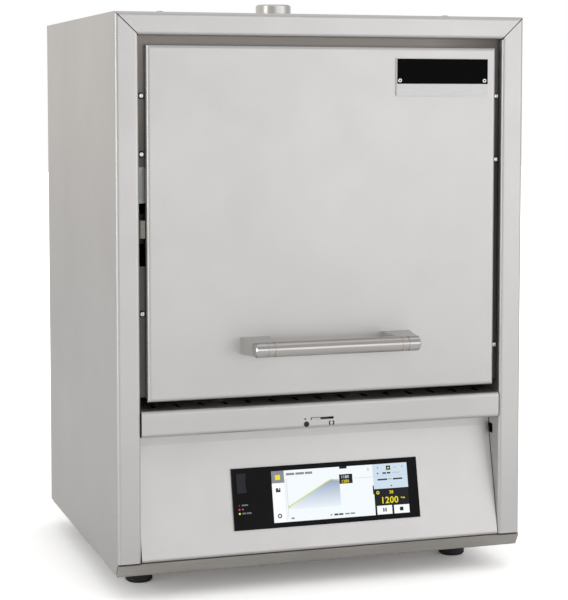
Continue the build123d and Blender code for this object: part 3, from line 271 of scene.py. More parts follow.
def plated_steel(name, hex_colour):
    # Smooth and bright, with faint tool marks and duller edges
    material, tree, bsdf = new_material(name)
    bsdf.inputs["Metallic"].default_value = 1.0
    marks = unevenness(tree, 0.9 * MM, stretch=(1, 1, 0.4))
    greys = ((0.3, shade(hex_colour, 0.9)), (0.7, shade(hex_colour, 1.05)))
    colour = add_node(tree, "ValToRGB", {"stops": greys}, Fac=marks)
    rough = add_node(tree, "MapRange", {"To Min": 0.16, "To Max": 0.3}, Value=unevenness(tree, 4 * MM))
    relief = add_node(tree, "Bump", {"Distance": 0.01 * MM}, Height=marks)
    link(tree, bsdf, Base_Color=colour, Roughness=rough, Normal=relief)
    return material


bright = plated_steel("bright plated steel", BRIGHT_COLOUR)
dress(bright, "foot_screws", "top_screws", "door_pins", "arm_pins", "front_arms", "rear_arms")
dress(bright, "lift_shaft", "air_slider", "exhaust_nut", "fan_guard")


# Screws in the gap round the door and at the rear: bright steel pan heads, their rim painted
# dark as a painted reflection of the dark gap.
def screw_with_painted_dark_rim():
    # Painted reflection: a dark rim round the bright crown
    material = plated_steel("bright steel with painted dark rim", "#D6D6D4")
    tree = material.node_tree
    outward = add_node(tree, "Math", {"operation": "ABSOLUTE"}, i0=axes_of(tree, "Normal")[1])
    paint_shade_or_reflection(material, "#2C2C2F", add_node(tree, "Math", {"operation": "GREATER_THAN", 1: 0.93}, i0=outward))
    return material


dress(screw_with_painted_dark_rim(), "pan_screws")


# Stub on the roof, over the chamber's exhaust tube: stainless bar turned on a lathe, its top
# edge broken, held under the roof by a lock nut.
STUB_COLOUR = "#D2D0CC"


def turned_stainless():
    # Rings from the lathe tool round the stub's axis, on its side and its top
    material, tree, bsdf = new_material("turned stainless bar")
    bsdf.inputs["Metallic"].default_value = 1.0
    stub_low, stub_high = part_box("exhaust_stub")
    middle = (stub_low + stub_high) / 2
    place = add_node(tree, "TexCoord", {}).outputs["Object"]
    centred = add_node(tree, "Mapping", {"Location": (-middle.x, -middle.y, 0)}, Vector=place)
    lathe = {"wave_type": "RINGS", "rings_direction": "Z", "Scale": 1 / (5 * MM), "Distortion": 0.6,
             "Detail": 3.0}
    rings = add_node(tree, "TexWave", lathe, Vector=centred).outputs["Fac"]
    tone = blend(tree, rings, unevenness(tree, 1.0 * MM, stretch=(40, 40, 1)), 0.4)
    greys = ((0.2, shade(STUB_COLOUR, 0.85)), (0.8, shade(STUB_COLOUR, 1.1)))
    colour = add_node(tree, "ValToRGB", {"stops": greys}, Fac=tone)
    rough = add_node(tree, "MapRange", {"To Min": 0.2, "To Max": 0.4}, Value=tone)
    relief = add_node(tree, "Bump", {"Distance": 0.02 * MM}, Height=tone)
    link(tree, bsdf, Base_Color=colour, Roughness=rough, Normal=relief)
    return material


dress(turned_stainless(), "exhaust_stub")


# Bushes of the lift shaft: sintered bronze rings filled with oil, pressed into the bearing
# plates.
def sintered_bronze():
    # Dull brown-gold with fine dark pores that hold the oil
    material, tree, bsdf = new_material("sintered bronze")
    bsdf.inputs["Metallic"].default_value = 1.0
    pores = unevenness(tree, 0.6 * MM, detail=6.0)
    browns = ((0.35, linear("#5E4526")), (0.6, linear("#A57F45")))
    colour = add_node(tree, "ValToRGB", {"stops": browns}, Fac=pores)
    rough = add_node(tree, "MapRange", {"To Min": 0.6, "To Max": 0.35}, Value=pores)
    link(tree, bsdf, Base_Color=colour, Roughness=rough)
    return material


dress(sintered_bronze(), "shaft_bushes")


# Friction washers beside the lift arms: rings pressed from aramid fibre and resin, which hold
# the door at any height.
def friction_fibre():
    # Dark brown and matt, with short paler fibres
    material, tree, bsdf = new_material("pressed friction fibre")
    fibres = unevenness(tree, 0.8 * MM, stretch=(1, 1, 5))
    browns = ((0.3, linear("#2E241C")), (0.7, linear("#574637")))
    link(tree, bsdf, Base_Color=add_node(tree, "ValToRGB", {"stops": browns}, Fac=fibres))
    bsdf.inputs["Roughness"].default_value = 0.85
    return material


dress(friction_fibre(), "friction_washers")


# Clamps on the upper ends of the heating rods: aluminium blocks, milled and slotted.
def milled_aluminium():
    # Pale and satin with the arcs of a face cutter
    material, tree, bsdf = new_material("milled aluminium")
    bsdf.inputs["Metallic"].default_value = 1.0
    cuts = unevenness(tree, 0.8 * MM, stretch=(1, 20, 1))
    greys = ((0.3, linear("#A9ABAD")), (0.7, linear("#CDCFD1")))
    colour = add_node(tree, "ValToRGB", {"stops": greys}, Fac=cuts)
    rough = add_node(tree, "MapRange", {"To Min": 0.3, "To Max": 0.45}, Value=cuts)
    relief = add_node(tree, "Bump", {"Distance": 0.02 * MM}, Height=cuts)
    link(tree, bsdf, Base_Color=colour, Roughness=rough, Normal=relief)
    return material


dress(milled_aluminium(), "rod_clamps")


# Chamber lining and the plug of the door: boards of vacuum-formed ceramic fibre, sawn to size,
# laid dry round the hearth and held by the steel shell.
def fibre_board():
    # Chalk white, soft and dusty, with short matted fibres and a few cream patches
    material, tree, bsdf = new_material("ceramic fibre board")
    fibres = unevenness(tree, 1.4 * MM, stretch=(5, 1, 1), detail=8.0)
    tone = blend(tree, fibres, unevenness(tree, 35 * MM, detail=3.0), 0.45)
    creams = ((0.3, linear("#D2CBBB")), (0.55, linear("#E8E4DA")), (0.8, linear("#EFECE4")))
    colour = add_node(tree, "ValToRGB", {"stops": creams}, Fac=tone)
    relief = add_node(tree, "Bump", {"Distance": 0.35 * MM}, Height=fibres)
    link(tree, bsdf, Base_Color=colour, Normal=relief)
    bsdf.inputs["Roughness"].default_value = 0.95
    bsdf.inputs["Sheen Weight"].default_value = 0.2
    return material


dress(fibre_board(), "insulation_floor", "insulation_roof", "insulation_sides", "insulation_rear",
      "door_insulation")


# Collar at the mouth, exhaust tube and thermocouple sheath: cast or extruded alumina, fired.
def fired_ceramic():
    # Cream alumina with fine grog specks under a matt skin
    material, tree, bsdf = new_material("fired alumina ceramic")
    specks = unevenness(tree, 0.9 * MM, detail=6.0)
    creams = ((0.32, linear("#B9AC93")), (0.42, linear("#E2D9C4")), (0.7, linear("#ECE5D5")))
    colour = add_node(tree, "ValToRGB", {"stops": creams}, Fac=specks)
    rough = add_node(tree, "MapRange", {"To Min": 0.75, "To Max": 0.55}, Value=specks)
    relief = add_node(tree, "Bump", {"Distance": 0.08 * MM}, Height=specks)
    link(tree, bsdf, Base_Color=colour, Roughness=rough, Normal=relief)
    return material


dress(fired_ceramic(), "chamber_collar", "exhaust_tube", "thermocouple")


# Heating rods and hearth plate: recrystallised silicon carbide, pressed and fired.
def silicon_carbide():
    # Charcoal grey with dark pores and small glints of crystal
    material, tree, bsdf = new_material("recrystallised silicon carbide")
    grit = unevenness(tree, 0.8 * MM, detail=8.0)
    greys = ((0.35, linear("#2B2B2D")), (0.6, linear("#4C4D50")), (0.75, linear("#77797E")))
    colour = add_node(tree, "ValToRGB", {"stops": greys}, Fac=grit)
    rough = add_node(tree, "MapRange", {"To Min": 0.8, "To Max": 0.4}, Value=grit)
    relief = add_node(tree, "Bump", {"Distance": 0.1 * MM}, Height=grit)
    link(tree, bsdf, Base_Color=colour, Roughness=rough, Normal=relief)
    return material


dress(silicon_carbide(), "heater_rods", "hearth_plate")


# Handle of the door: a bar of satin-anodised aluminium with turned grooves near its ends and
# two caps of plain bar. Its two flared legs are pressed from the casing's sheet.
def anodised_bar(name, hex_colour, low, high):
    # Silky grey. The drawing die leaves lines along the bar, 0.1 mm apart, drawn at 0.4 mm
    material, tree, bsdf = new_material(name)
    bsdf.inputs["Metallic"].default_value = 1.0
    grain = unevenness(tree, 0.4 * MM, stretch=(90, 1, 1), detail=2.0)
    greys = ((0.25, shade(hex_colour, 0.9)), (0.75, shade(hex_colour, 1.08)))
    colour = add_node(tree, "ValToRGB", {"stops": greys}, Fac=grain)
    rough = add_node(tree, "MapRange", {"To Min": low, "To Max": high}, Value=grain)
    relief = add_node(tree, "Bump", {"Distance": 0.001 * MM}, Height=grain)
    link(tree, bsdf, Base_Color=colour, Roughness=rough, Normal=relief)
    return material


dress(anodised_bar("satin anodised aluminium", "#C6C1BD", 0.2, 0.26), "handle_bar")
dress(anodised_bar("bright anodised aluminium", "#C4C3C2", 0.14, 0.19), "handle_caps")


# Plate in the corner of the door: an aluminium plate with its upper band printed black and its
# lower band left silver, both bare, held by two rivets.
PLATE_RIM = 0.7 * MM
SILVER_SHARE = 0.317


def printed_plate():
    # Satin black above the line, brushed silver below it and in a thin rim round the black
    material, tree, bsdf = new_material("printed aluminium plate")
    low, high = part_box("nameplate")
    axes = axes_of(tree, "Object")
    line = low.z + (high.z - low.z) * SILVER_SHARE
    above = add_node(tree, "Math", {"operation": "GREATER_THAN", 1: line}, i0=axes[2])
    under_rim = add_node(tree, "Math", {"operation": "LESS_THAN", 1: high.z - PLATE_RIM}, i0=axes[2])
    beside_rim = add_node(tree, "Math", {"operation": "GREATER_THAN", 1: low.x + PLATE_RIM}, i0=axes[0])
    between = add_node(tree, "Math", {"operation": "MULTIPLY"}, i0=above, i1=under_rim)
    black = add_node(tree, "Math", {"operation": "MULTIPLY"}, i0=between, i1=beside_rim)
    grain = unevenness(tree, 0.6 * MM, stretch=(40, 1, 1))
    greys = ((0.3, linear("#BEBEBE")), (0.7, linear("#CCCCCA")))
    silver = add_node(tree, "ValToRGB", {"stops": greys}, Fac=grain)
    blacks = ((0.3, linear("#020203")), (0.7, linear("#060607")))
    ink = add_node(tree, "ValToRGB", {"stops": blacks}, Fac=grain)
    colour = add_node(tree, "Mix", {"data_type": "RGBA"}, i0=black, i6=silver, i7=ink).outputs[2]
    metal = add_node(tree, "Math", {"operation": "SUBTRACT", 0: 1.0}, i1=black)
    rough = add_node(tree, "MapRange", {"To Min": 0.36, "To Max": 0.46}, Value=grain)
    link(tree, bsdf, Base_Color=colour, Metallic=metal, Roughness=rough)
    bsdf.inputs["Specular IOR Level"].default_value = 0.04
    return material


dress(printed_plate(), "nameplate")


# Rivets of the plate: aluminium blind rivets with a low dome. The hole that the pulled mandrel
# leaves in the middle is not modelled; a dark spot is painted there as its shade.
def blind_rivet():
    material = plated_steel("bright aluminium rivet", "#DDDDDB")
    tree = material.node_tree
    low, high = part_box("plate_rivets")
    radius = (high.z - low.z) / 2
    place = add_node(tree, "TexCoord", {}).outputs["Object"]
    flat = add_node(tree, "VectorMath", {"operation": "MULTIPLY", 1: (1, 0, 1)}, i0=place)
    reach = []
    for x in (low.x + radius, high.x - radius):
        away = {"operation": "DISTANCE", 1: (x, 0, low.z + radius)}
        reach.append(add_node(tree, "VectorMath", away, i0=flat).outputs["Value"])
    nearest = add_node(tree, "Math", {"operation": "MINIMUM"}, i0=reach[0], i1=reach[1])
    outside = {"operation": "GREATER_THAN", 1: radius * 0.45}
    # Painted shade: a dark spot stands for the mandrel's hole
    paint_shade_or_reflection(material, "#0C0C0D", add_node(tree, "Math", outside, i0=nearest))
    return material


dress(blind_rivet(), "plate_rivets")


# Feet: nitrile rubber, moulded round a steel washer and screwed up into the tray.
def black_rubber():
    # Nearly black and matt, with grey dust from the bench
    material, tree, bsdf = new_material("moulded nitrile rubber")
    dust = unevenness(tree, 3 * MM, detail=5.0)
    blacks = ((0.4, linear("#121212")), (0.75, linear("#242322")))
    colour = add_node(tree, "ValToRGB", {"stops": blacks}, Fac=dust)
    rough = add_node(tree, "MapRange", {"To Min": 0.4, "To Max": 0.65}, Value=dust)
    relief = add_node(tree, "Bump", {"Distance": 0.05 * MM}, Height=dust)
    link(tree, bsdf, Base_Color=colour, Roughness=rough, Normal=relief)
    return material


dress(black_rubber(), "feet")


# Mains inlet, rocker and fan at the rear: glass-filled ABS, injection moulded with a fine
# spark-eroded grain.
def moulded_plastic(name, hex_colour, low, high):
    # The grain is about 0.1 mm, drawn at 1 mm so that it shows
    material, tree, bsdf = new_material(name)
    grain = unevenness(tree, 1.0 * MM)
    shades = ((0.3, shade(hex_colour, 0.9)), (0.7, shade(hex_colour, 1.1)))
    colour = add_node(tree, "ValToRGB", {"stops": shades}, Fac=grain)
    rough = add_node(tree, "MapRange", {"To Min": low, "To Max": high}, Value=grain)
    relief = add_node(tree, "Bump", {"Distance": 0.03 * MM}, Height=grain)
    link(tree, bsdf, Base_Color=colour, Roughness=rough, Normal=relief)
    return material


black_abs = moulded_plastic("moulded black ABS", "#17171A", 0.35, 0.5)
dress(black_abs, "inlet_frame", "rocker", "fan_frame", "fan_rotor")


# Door switch in the gap on the left: a white nylon housing, gone grey-beige, clipped into a
# black carrier.
def nylon_switch():
    # Grey-beige in front of the face plate, black behind it
    material, tree, bsdf = new_material("moulded nylon switch")
    depth = axes_of(tree, "Object")[1]
    carrier_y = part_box("face_plate")[0].y + 6 * MM
    behind = add_node(tree, "Math", {"operation": "GREATER_THAN", 1: carrier_y}, i0=depth)
    grain = unevenness(tree, 1.0 * MM)
    beiges = ((0.3, linear("#77776E")), (0.7, linear("#8C8C82")))
    nylon = add_node(tree, "ValToRGB", {"stops": beiges}, Fac=grain)
    blacks = ((0.3, linear("#0E0E0F")), (0.7, linear("#19191A")))
    carrier = add_node(tree, "ValToRGB", {"stops": blacks}, Fac=grain)
    colour = add_node(tree, "Mix", {"data_type": "RGBA"}, i0=behind, i6=nylon, i7=carrier).outputs[2]
    rough = add_node(tree, "MapRange", {"To Min": 0.4, "To Max": 0.55}, Value=grain)
    relief = add_node(tree, "Bump", {"Distance": 0.03 * MM}, Height=grain)
    link(tree, bsdf, Base_Color=colour, Roughness=rough, Normal=relief)
    return material


dress(nylon_switch(), "door_switch")


# Circuit boards behind the display and on the deck: glass-epoxy laminate with its copper
# etched, under a green solder mask.
def circuit_board():
    # Dark green with paler runs of copper under the mask
    material, tree, bsdf = new_material("solder masked circuit board")
    place = add_node(tree, "TexCoord", {}).outputs["Object"]
    runs = add_node(tree, "TexBrick", {"Scale": 1 / (14 * MM), "Mortar Size": 0.12}, Vector=place)
    greens = ((0.0, linear("#155235")), (1.0, linear("#2A7A4E")))
    colour = add_node(tree, "ValToRGB", {"stops": greens}, Fac=runs.outputs["Fac"])
    rough = add_node(tree, "MapRange", {"To Min": 0.25, "To Max": 0.4}, Value=unevenness(tree, 2 * MM))
    link(tree, bsdf, Base_Color=colour, Roughness=rough)
    return material


dress(circuit_board(), "display_board", "power_board")


# Display in the slanted panel: a frame and a flush window of polished black acrylic, cut on a
# laser and glued into the panel's opening.
def polished_acrylic():
    # Deep black and glossy, with a faint haze of fingerprints
    material, tree, bsdf = new_material("polished black acrylic")
    haze = unevenness(tree, 18 * MM, detail=3.0)
    blacks = ((0.4, linear("#08080A")), (0.8, linear("#101013")))
    colour = add_node(tree, "ValToRGB", {"stops": blacks}, Fac=haze)
    rough = add_node(tree, "MapRange", {"To Min": 0.06, "To Max": 0.14}, Value=haze)
    link(tree, bsdf, Base_Color=colour, Roughness=rough)
    bsdf.inputs["Specular IOR Level"].default_value = 0.07
    return material


dress(polished_acrylic(), "display_bezel", "display_screen")


# Cover flap of the data socket at the left of the display: moulded ABS, hinged on its right.
flap_plastic = moulded_plastic("moulded dark blue ABS", "#191A22", 0.3, 0.4)
flap_plastic.node_tree.nodes["Principled BSDF"].inputs["Specular IOR Level"].default_value = 0.25
dress(flap_plastic, "usb_flap")


# Picture on the display. The panel leans back, so its pictures are laid out on the panel's own
# plane: x across and s up the slope. The flap's hinge pin runs up that slope and gives the plane.
PIN_OVER_SILL = 57.1 * MM
PIN_OVER_PANEL = 0.75 * MM
GLASS_FACE = 1.1 * MM
PICTURE_T = 0.04 * MM
DIGIT_SHARE = 0.69    # a digit's height in the font is this share of the font's size
hinge = next(joint for joint in frame["joints"] if joint["name"] == "flap_hinge")
up_slope = -Vector(hinge["axis"]).normalized()
out_of_slope = Vector((0, -up_slope.z, up_slope.y))
sill = Vector(hinge["pos_m"]) - up_slope * PIN_OVER_SILL - out_of_slope * PIN_OVER_PANEL
slope = Matrix(((1, 0, 0, 0),
                (0, up_slope.y, out_of_slope.y, sill.y),
                (0, up_slope.z, out_of_slope.z, sill.z),
                (0, 0, 0, 1)))


def lit_colour(name, hex_colour, glow=0.92):
    # A backlit colour behind the glass, so most of its light is its own
    material, tree, bsdf = new_material(name)
    bsdf.inputs["Base Color"].default_value = shade(hex_colour, 0.08)
    bsdf.inputs["Emission Color"].default_value = linear(hex_colour)
    bsdf.inputs["Emission Strength"].default_value = glow
    bsdf.inputs["Specular IOR Level"].default_value = 0.16
    bsdf.inputs["Roughness"].default_value = 0.12
    return material


def lit_fade(name, low_hex, high_hex, low_s, high_s):
    # The area under the curve fades into the background towards its foot
    material = lit_colour(name, high_hex)
    tree = material.node_tree
    height = axes_of(tree, "Object")[2]
    limits = {"From Min": sill.z + low_s * MM * up_slope.z, "From Max": sill.z + high_s * MM * up_slope.z}
    share = add_node(tree, "MapRange", limits, Value=height)
    blues = ((0.0, linear(low_hex)), (1.0, linear(high_hex)))
    colour = add_node(tree, "ValToRGB", {"stops": blues}, Fac=share)
    link(tree, tree.nodes["Principled BSDF"], Emission_Color=colour)
    return material


def finish_piece(mesh, name, material, body):
    data = bpy.data.meshes.new(name)
    mesh.to_mesh(data)
    mesh.free()
    piece = bpy.data.objects.new(name, data)
    bpy.context.scene.collection.objects.link(piece)
    data.materials.append(material)
    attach(piece, body)
    return piece


def lay_on_slope(mesh, name, material, place):
    bmesh.ops.translate(mesh, verts=mesh.verts, vec=place)
    bmesh.ops.transform(mesh, matrix=slope, verts=mesh.verts)
    bmesh.ops.recalc_face_normals(mesh, faces=mesh.faces)
    return finish_piece(mesh, name, material, "housing")


def film_on_glass(mesh, name, material, level, x=0, s=0):
    # The flat faces become a thin film. A higher level lies on the films below it.
    films = bmesh.ops.extrude_face_region(mesh, geom=mesh.faces[:], use_keep_orig=True)["geom"]
    top = [item for item in films if isinstance(item, bmesh.types.BMVert)]
    bmesh.ops.translate(mesh, verts=top, vec=(0, 0, PICTURE_T))
    return lay_on_slope(mesh, name, material, (x * MM, s * MM, GLASS_FACE + level * PICTURE_T))


def box_shape(x0, x1, s0, s1):
    return [(x0, s0), (x1, s0), (x1, s1), (x0, s1)]


def on_glass(name, material, level, outlines):
    # One film for each outline of x, s points in millimetres
    mesh = bmesh.new()
    for points in outlines:
        mesh.faces.new([mesh.verts.new((x * MM, s * MM, 0)) for x, s in points])
    return film_on_glass(mesh, name, material, level)


def ring_on_glass(name, material, level, x, s, outer, inner, sides):
    mesh = bmesh.new()
    first = bmesh.ops.create_circle(mesh, segments=sides, radius=outer * MM)["verts"]
    second = bmesh.ops.create_circle(mesh, segments=sides, radius=inner * MM)["verts"]
    rims = list({edge for vert in first + second for edge in vert.link_edges})
    bmesh.ops.bridge_loops(mesh, edges=rims)
    return film_on_glass(mesh, name, material, level, x, s)


def digits_on_glass(name, material, level, digits, x, s, height):
    curve = bpy.data.curves.new(name, "FONT")
    curve.body = digits
    curve.size = height * MM / DIGIT_SHARE
    curve.extrude = PICTURE_T / 2
    curve.offset = height * MM * 0.025
    curve.space_character = 1.08
    curve.resolution_u = 3
    words = bpy.data.objects.new(name, curve)
    bpy.context.scene.collection.objects.link(words)
    bpy.context.view_layer.update()
    data = bpy.data.meshes.new_from_object(words.evaluated_get(bpy.context.evaluated_depsgraph_get()))
    bpy.data.objects.remove(words)
    mesh = bmesh.new()
    mesh.from_mesh(data)
    bpy.data.meshes.remove(data)
    bmesh.ops.remove_doubles(mesh, verts=mesh.verts, dist=0.001 * MM)
    place = (x * MM, s * MM, GLASS_FACE + (level + 0.5) * PICTURE_T)
    return lay_on_slope(mesh, name, material, place)


screen_white = lit_colour("backlit white", "#F4FAFD")
screen_pure = lit_colour("backlit pure white", "#FCFDFE")
screen_blue = lit_colour("backlit pale blue", "#CFE0EE")
screen_line = lit_colour("backlit thin grey", "#C3CBD2")
screen_grey = lit_colour("backlit grey", "#898C93")
screen_ink = lit_colour("backlit dark grey", "#3C3F4A", 0.7)
screen_dark = lit_colour("backlit near black", "#17171F", 0.45)
screen_yellow = lit_colour("backlit yellow", "#EFE02A")
screen_curve = lit_colour("backlit yellow green", "#D3DC6B")
screen_fade = lit_fade("backlit fading blue", "#F0F8FD", "#97A6C4", 34, 55.5)

# Left column of the picture, with a lamp symbol, a storage symbol and a settings ring
on_glass("screen_background", screen_white, 0, [box_shape(-31.6, 44.4, 24.2, 65)])
on_glass("screen_menu_strip", screen_pure, 0, [box_shape(-42, -31.6, 24.2, 65)])
on_glass("screen_menu_chosen", screen_grey, 1, [box_shape(-42, -31.4, 55.4, 65)])
on_glass("screen_lamp_symbol", screen_yellow, 2, [box_shape(-38.9, -34.7, 57.9, 61.8)])
on_glass("screen_store_symbol", screen_ink, 1, [box_shape(-38.9, -35.1, 48.2, 49.9),
                                                box_shape(-38.9, -36.9, 49.9, 51.4),
                                                box_shape(-36.1, -35.1, 49.9, 51.4)])
ring_on_glass("screen_settings_ring", screen_ink, 1, -36.9, 29.4, 1.9, 1.0, 8)

# Heating curve with the area under it, its axis, and the value box at its end
on_glass("screen_curve_area", screen_fade, 1, [[(-28.6, 34), (15.3, 34), (15.3, 54), (8.1, 55.2), (4, 53.2),
                                                (-8, 46.8), (-20, 40.4), (-28.6, 35.8)]])
on_glass("screen_curve", screen_curve, 2,
         [[(-28.9, 35.6), (-8, 46.7), (4, 53.1), (4, 54), (-8, 47.6), (-28.9, 36.6)],
          [(4, 53.1), (8.1, 54.9), (8.1, 55.8), (4, 54)],
          [(8.1, 54.9), (15.2, 54.2), (15.2, 55.1), (8.1, 55.8)]])
on_glass("screen_curve_start", screen_curve, 3, [box_shape(-29.4, -27.8, 35.2, 36.9)])
on_glass("screen_axis", screen_line, 1, [box_shape(-29.6, -29.3, 27, 58.6),
                                         box_shape(-31.0, -30.8, 26, 57.5),
                                         box_shape(28, 44.3, 54.9, 55.2)])
on_glass("screen_title_bars", screen_grey, 1, [box_shape(-29.6, -22.4, 61.0, 62.8),
                                               box_shape(-21.6, -14.4, 61.0, 62.8),
                                               box_shape(-13.6, -7.4, 61.0, 62.8),
                                               box_shape(-27.4, -24.8, 26.2, 27.5),
                                               box_shape(5.9, 7.1, 26.5, 27.9),
                                               box_shape(18.2, 22, 26.6, 27.8),
                                               box_shape(22.8, 26.6, 26.6, 27.8),
                                               box_shape(40.3, 40.8, 59.9, 62.8)])
on_glass("screen_time_bars", screen_ink, 1, [box_shape(8.9, 12.4, 26.5, 27.9),
                                             box_shape(13.0, 16.6, 26.5, 27.9)])
on_glass("screen_top_tab", screen_dark, 1, [box_shape(15.9, 22.2, 63.3, 65)])
on_glass("screen_value_box", screen_dark, 1, [box_shape(15.3, 26.6, 51.3, 58.8)])
digits_on_glass("screen_value_upper", screen_blue, 2, "1180", 16.8, 55.6, 2.2)
digits_on_glass("screen_value_lower", screen_yellow, 2, "1200", 16.8, 52.1, 2.2)

# Right column: program box, present value in large digits, pause and stop buttons
on_glass("screen_program_box", screen_blue, 0, [box_shape(44.4, 74.4, 45, 65)])
on_glass("screen_program_lines", screen_line, 1, [box_shape(45, 74.2, 55.3, 55.6),
                                                  box_shape(60.9, 68.4, 56.9, 58.0),
                                                  box_shape(62.4, 65.4, 61.2, 62.3)])
on_glass("screen_program_bars", screen_ink, 1, [box_shape(48.0, 49.2, 56.9, 58.0),
                                                box_shape(52.8, 55.9, 56.8, 58.1),
                                                box_shape(56.6, 59.7, 56.8, 58.1),
                                                box_shape(48.1, 56.6, 51.7, 53.0),
                                                box_shape(57.6, 60.6, 52.2, 52.6),
                                                box_shape(61.6, 69.8, 51.7, 53.0),
                                                [(58.7, 47.4), (59.8, 46.2), (60.9, 47.4)],
                                                [(49.2, 61.3), (49.2, 62.7), (48.2, 62.0)],
                                                [(70.0, 61.3), (71.0, 62.0), (70.0, 62.7)]])
on_glass("screen_program_step", screen_dark, 1, [box_shape(56.2, 59.9, 59.8, 63.3)])
on_glass("screen_step_mark", screen_yellow, 2, [box_shape(57.2, 58.9, 61.0, 62.1)])
on_glass("screen_value_field", screen_dark, 0, [box_shape(44.4, 74.4, 24.2, 45)])
on_glass("screen_side_tab", screen_dark, 1, [box_shape(43.5, 44.5, 41, 48)])
ring_on_glass("screen_power_symbol", screen_yellow, 1, 47.6, 42, 1.5, 0.7, 6)
digits_on_glass("screen_power_digits", screen_yellow, 1, "38", 57.4, 40.7, 2.4)
digits_on_glass("screen_temperature_digits", screen_yellow, 1, "1200", 49.6, 33.2, 5.0)
on_glass("screen_degree_mark", screen_yellow, 1, [box_shape(67.3, 68.2, 36.6, 37.5),
                                                  box_shape(68.8, 70.6, 36.2, 37.2)])
on_glass("screen_buttons", screen_pure, 1, [box_shape(46, 59, 24.4, 31.4), box_shape(60.7, 74, 24.4, 31.2)])
on_glass("screen_button_symbols", screen_dark, 2, [box_shape(51.1, 52.2, 26.5, 29.5),
                                                   box_shape(53.0, 54.1, 26.5, 29.5),
                                                   box_shape(65.7, 68.7, 26.4, 29.4)])


# Three status lamps under the flap: clear epoxy domes over coloured chips. The upper one is
# unlit, but glows dimly in dark red like the others: a painted glow.
# Beside each, where a word would stand, is a plain grey bar.
FRAME_LEVEL = 8    # the frame's face stands 0.3 mm over the window, eight films' thickness


def lamp_colours():
    # Each dome's colour follows its height on the slope
    material, tree, bsdf = new_material("tinted epoxy lamp")
    low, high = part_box("status_lamps")
    height = axes_of(tree, "Object")[2]
    share = add_node(tree, "MapRange", {"From Min": low.z, "From Max": high.z}, Value=height)
    chips = ((0.0, linear("#C6D43A")), (0.34, linear("#C22A38")), (0.67, linear("#4A1418")))
    tint = add_node(tree, "ValToRGB", {"stops": chips}, Fac=share)
    tint.color_ramp.interpolation = "CONSTANT"
    link(tree, bsdf, Base_Color=tint, Emission_Color=tint)
    # Painted glow: every dome glows, the unlit upper one too
    bsdf.inputs["Emission Strength"].default_value = 0.5
    bsdf.inputs["Roughness"].default_value = 0.2
    return material


dress(lamp_colours(), "status_lamps")
lamp_print = moulded_plastic("grey screen print", "#77777C", 0.5, 0.6)
on_glass("lamp_caption_bars", lamp_print, FRAME_LEVEL, [box_shape(-68.0, -62.9, 39.3, 40.5),
                                                        box_shape(-68.0, -66.6, 36.1, 37.3),
                                                        box_shape(-68.0, -64.9, 32.9, 34.1),
                                                        box_shape(-64.3, -60.4, 32.9, 34.1)])


# Marks of the air slider on the rail: black ink, screen-printed. A full dot stands for shut,
# a split ring for open.
MARK_Z = 132.9 * MM
DOT_X = -16.5 * MM
DOT_R = 2.3 * MM
RING_X = 4.6 * MM
RING_OUTER = 2.4 * MM
RING_INNER = 1.3 * MM
HALF_RING = 124    # degrees of each half of the split ring
INK_T = 0.05 * MM
slider_ink = moulded_plastic("black screen print", "#141314", 0.4, 0.5)

shut_mark = bmesh.new()
bmesh.ops.create_cone(shut_mark, cap_ends=True, segments=24, radius1=DOT_R, radius2=DOT_R - INK_T,
                      depth=INK_T)
bmesh.ops.rotate(shut_mark, verts=shut_mark.verts, matrix=Matrix.Rotation(math.pi / 2, 3, "X"))
bmesh.ops.translate(shut_mark, verts=shut_mark.verts, vec=(DOT_X, RAIL_FRONT - INK_T / 2, MARK_Z))
bmesh.ops.recalc_face_normals(shut_mark, faces=shut_mark.faces)
finish_piece(shut_mark, "slider_mark_shut", slider_ink, "housing")

open_mark = bmesh.new()
centre = Vector((RING_X, RAIL_FRONT - INK_T, MARK_Z))
for side in (-1, 1):
    corners = [centre + Vector((side * r, y, 0)) for r, y in ((RING_INNER, 0), (RING_OUTER, 0),
                                                              (RING_OUTER, INK_T), (RING_INNER, INK_T))]
    profile = open_mark.faces.new([open_mark.verts.new(corner) for corner in corners])
    start = Matrix.Rotation(math.radians(-HALF_RING / 2), 3, "Y")
    bmesh.ops.rotate(open_mark, verts=profile.verts, cent=centre, matrix=start)
    bmesh.ops.spin(open_mark, geom=[profile, *profile.edges, *profile.verts], cent=centre, axis=(0, 1, 0),
                   angle=math.radians(HALF_RING), steps=12, use_merge=False)
bmesh.ops.recalc_face_normals(open_mark, faces=open_mark.faces)
finish_piece(open_mark, "slider_mark_open", slider_ink, "housing")


# Studio: a plain white floor, and white all round for the camera, greyer for reflections. Soft
# lamps stand high at the front right, wide in front, low at the right, overhead, and at the
# left a narrow upright one that draws the light lines on the left bends.
WHITE = (1, 1, 1, 1)
FLOOR_SEEN = (1.58, 1.58, 1.58, 1)
FLOOR_MIRRORED = (0.87, 0.87, 0.87, 1)
ROOM_LIGHT = (0.66, 0.66, 0.66, 1)
ROOM_MIRRORED = ((0.0, (0.85, 0.81, 0.77, 1)), (0.5, (0.60, 0.59, 0.58, 1)), (1.0, (0.50, 0.51, 0.53, 1)))
ROOM_FRONT = (0.3, -0.93, 0.2)


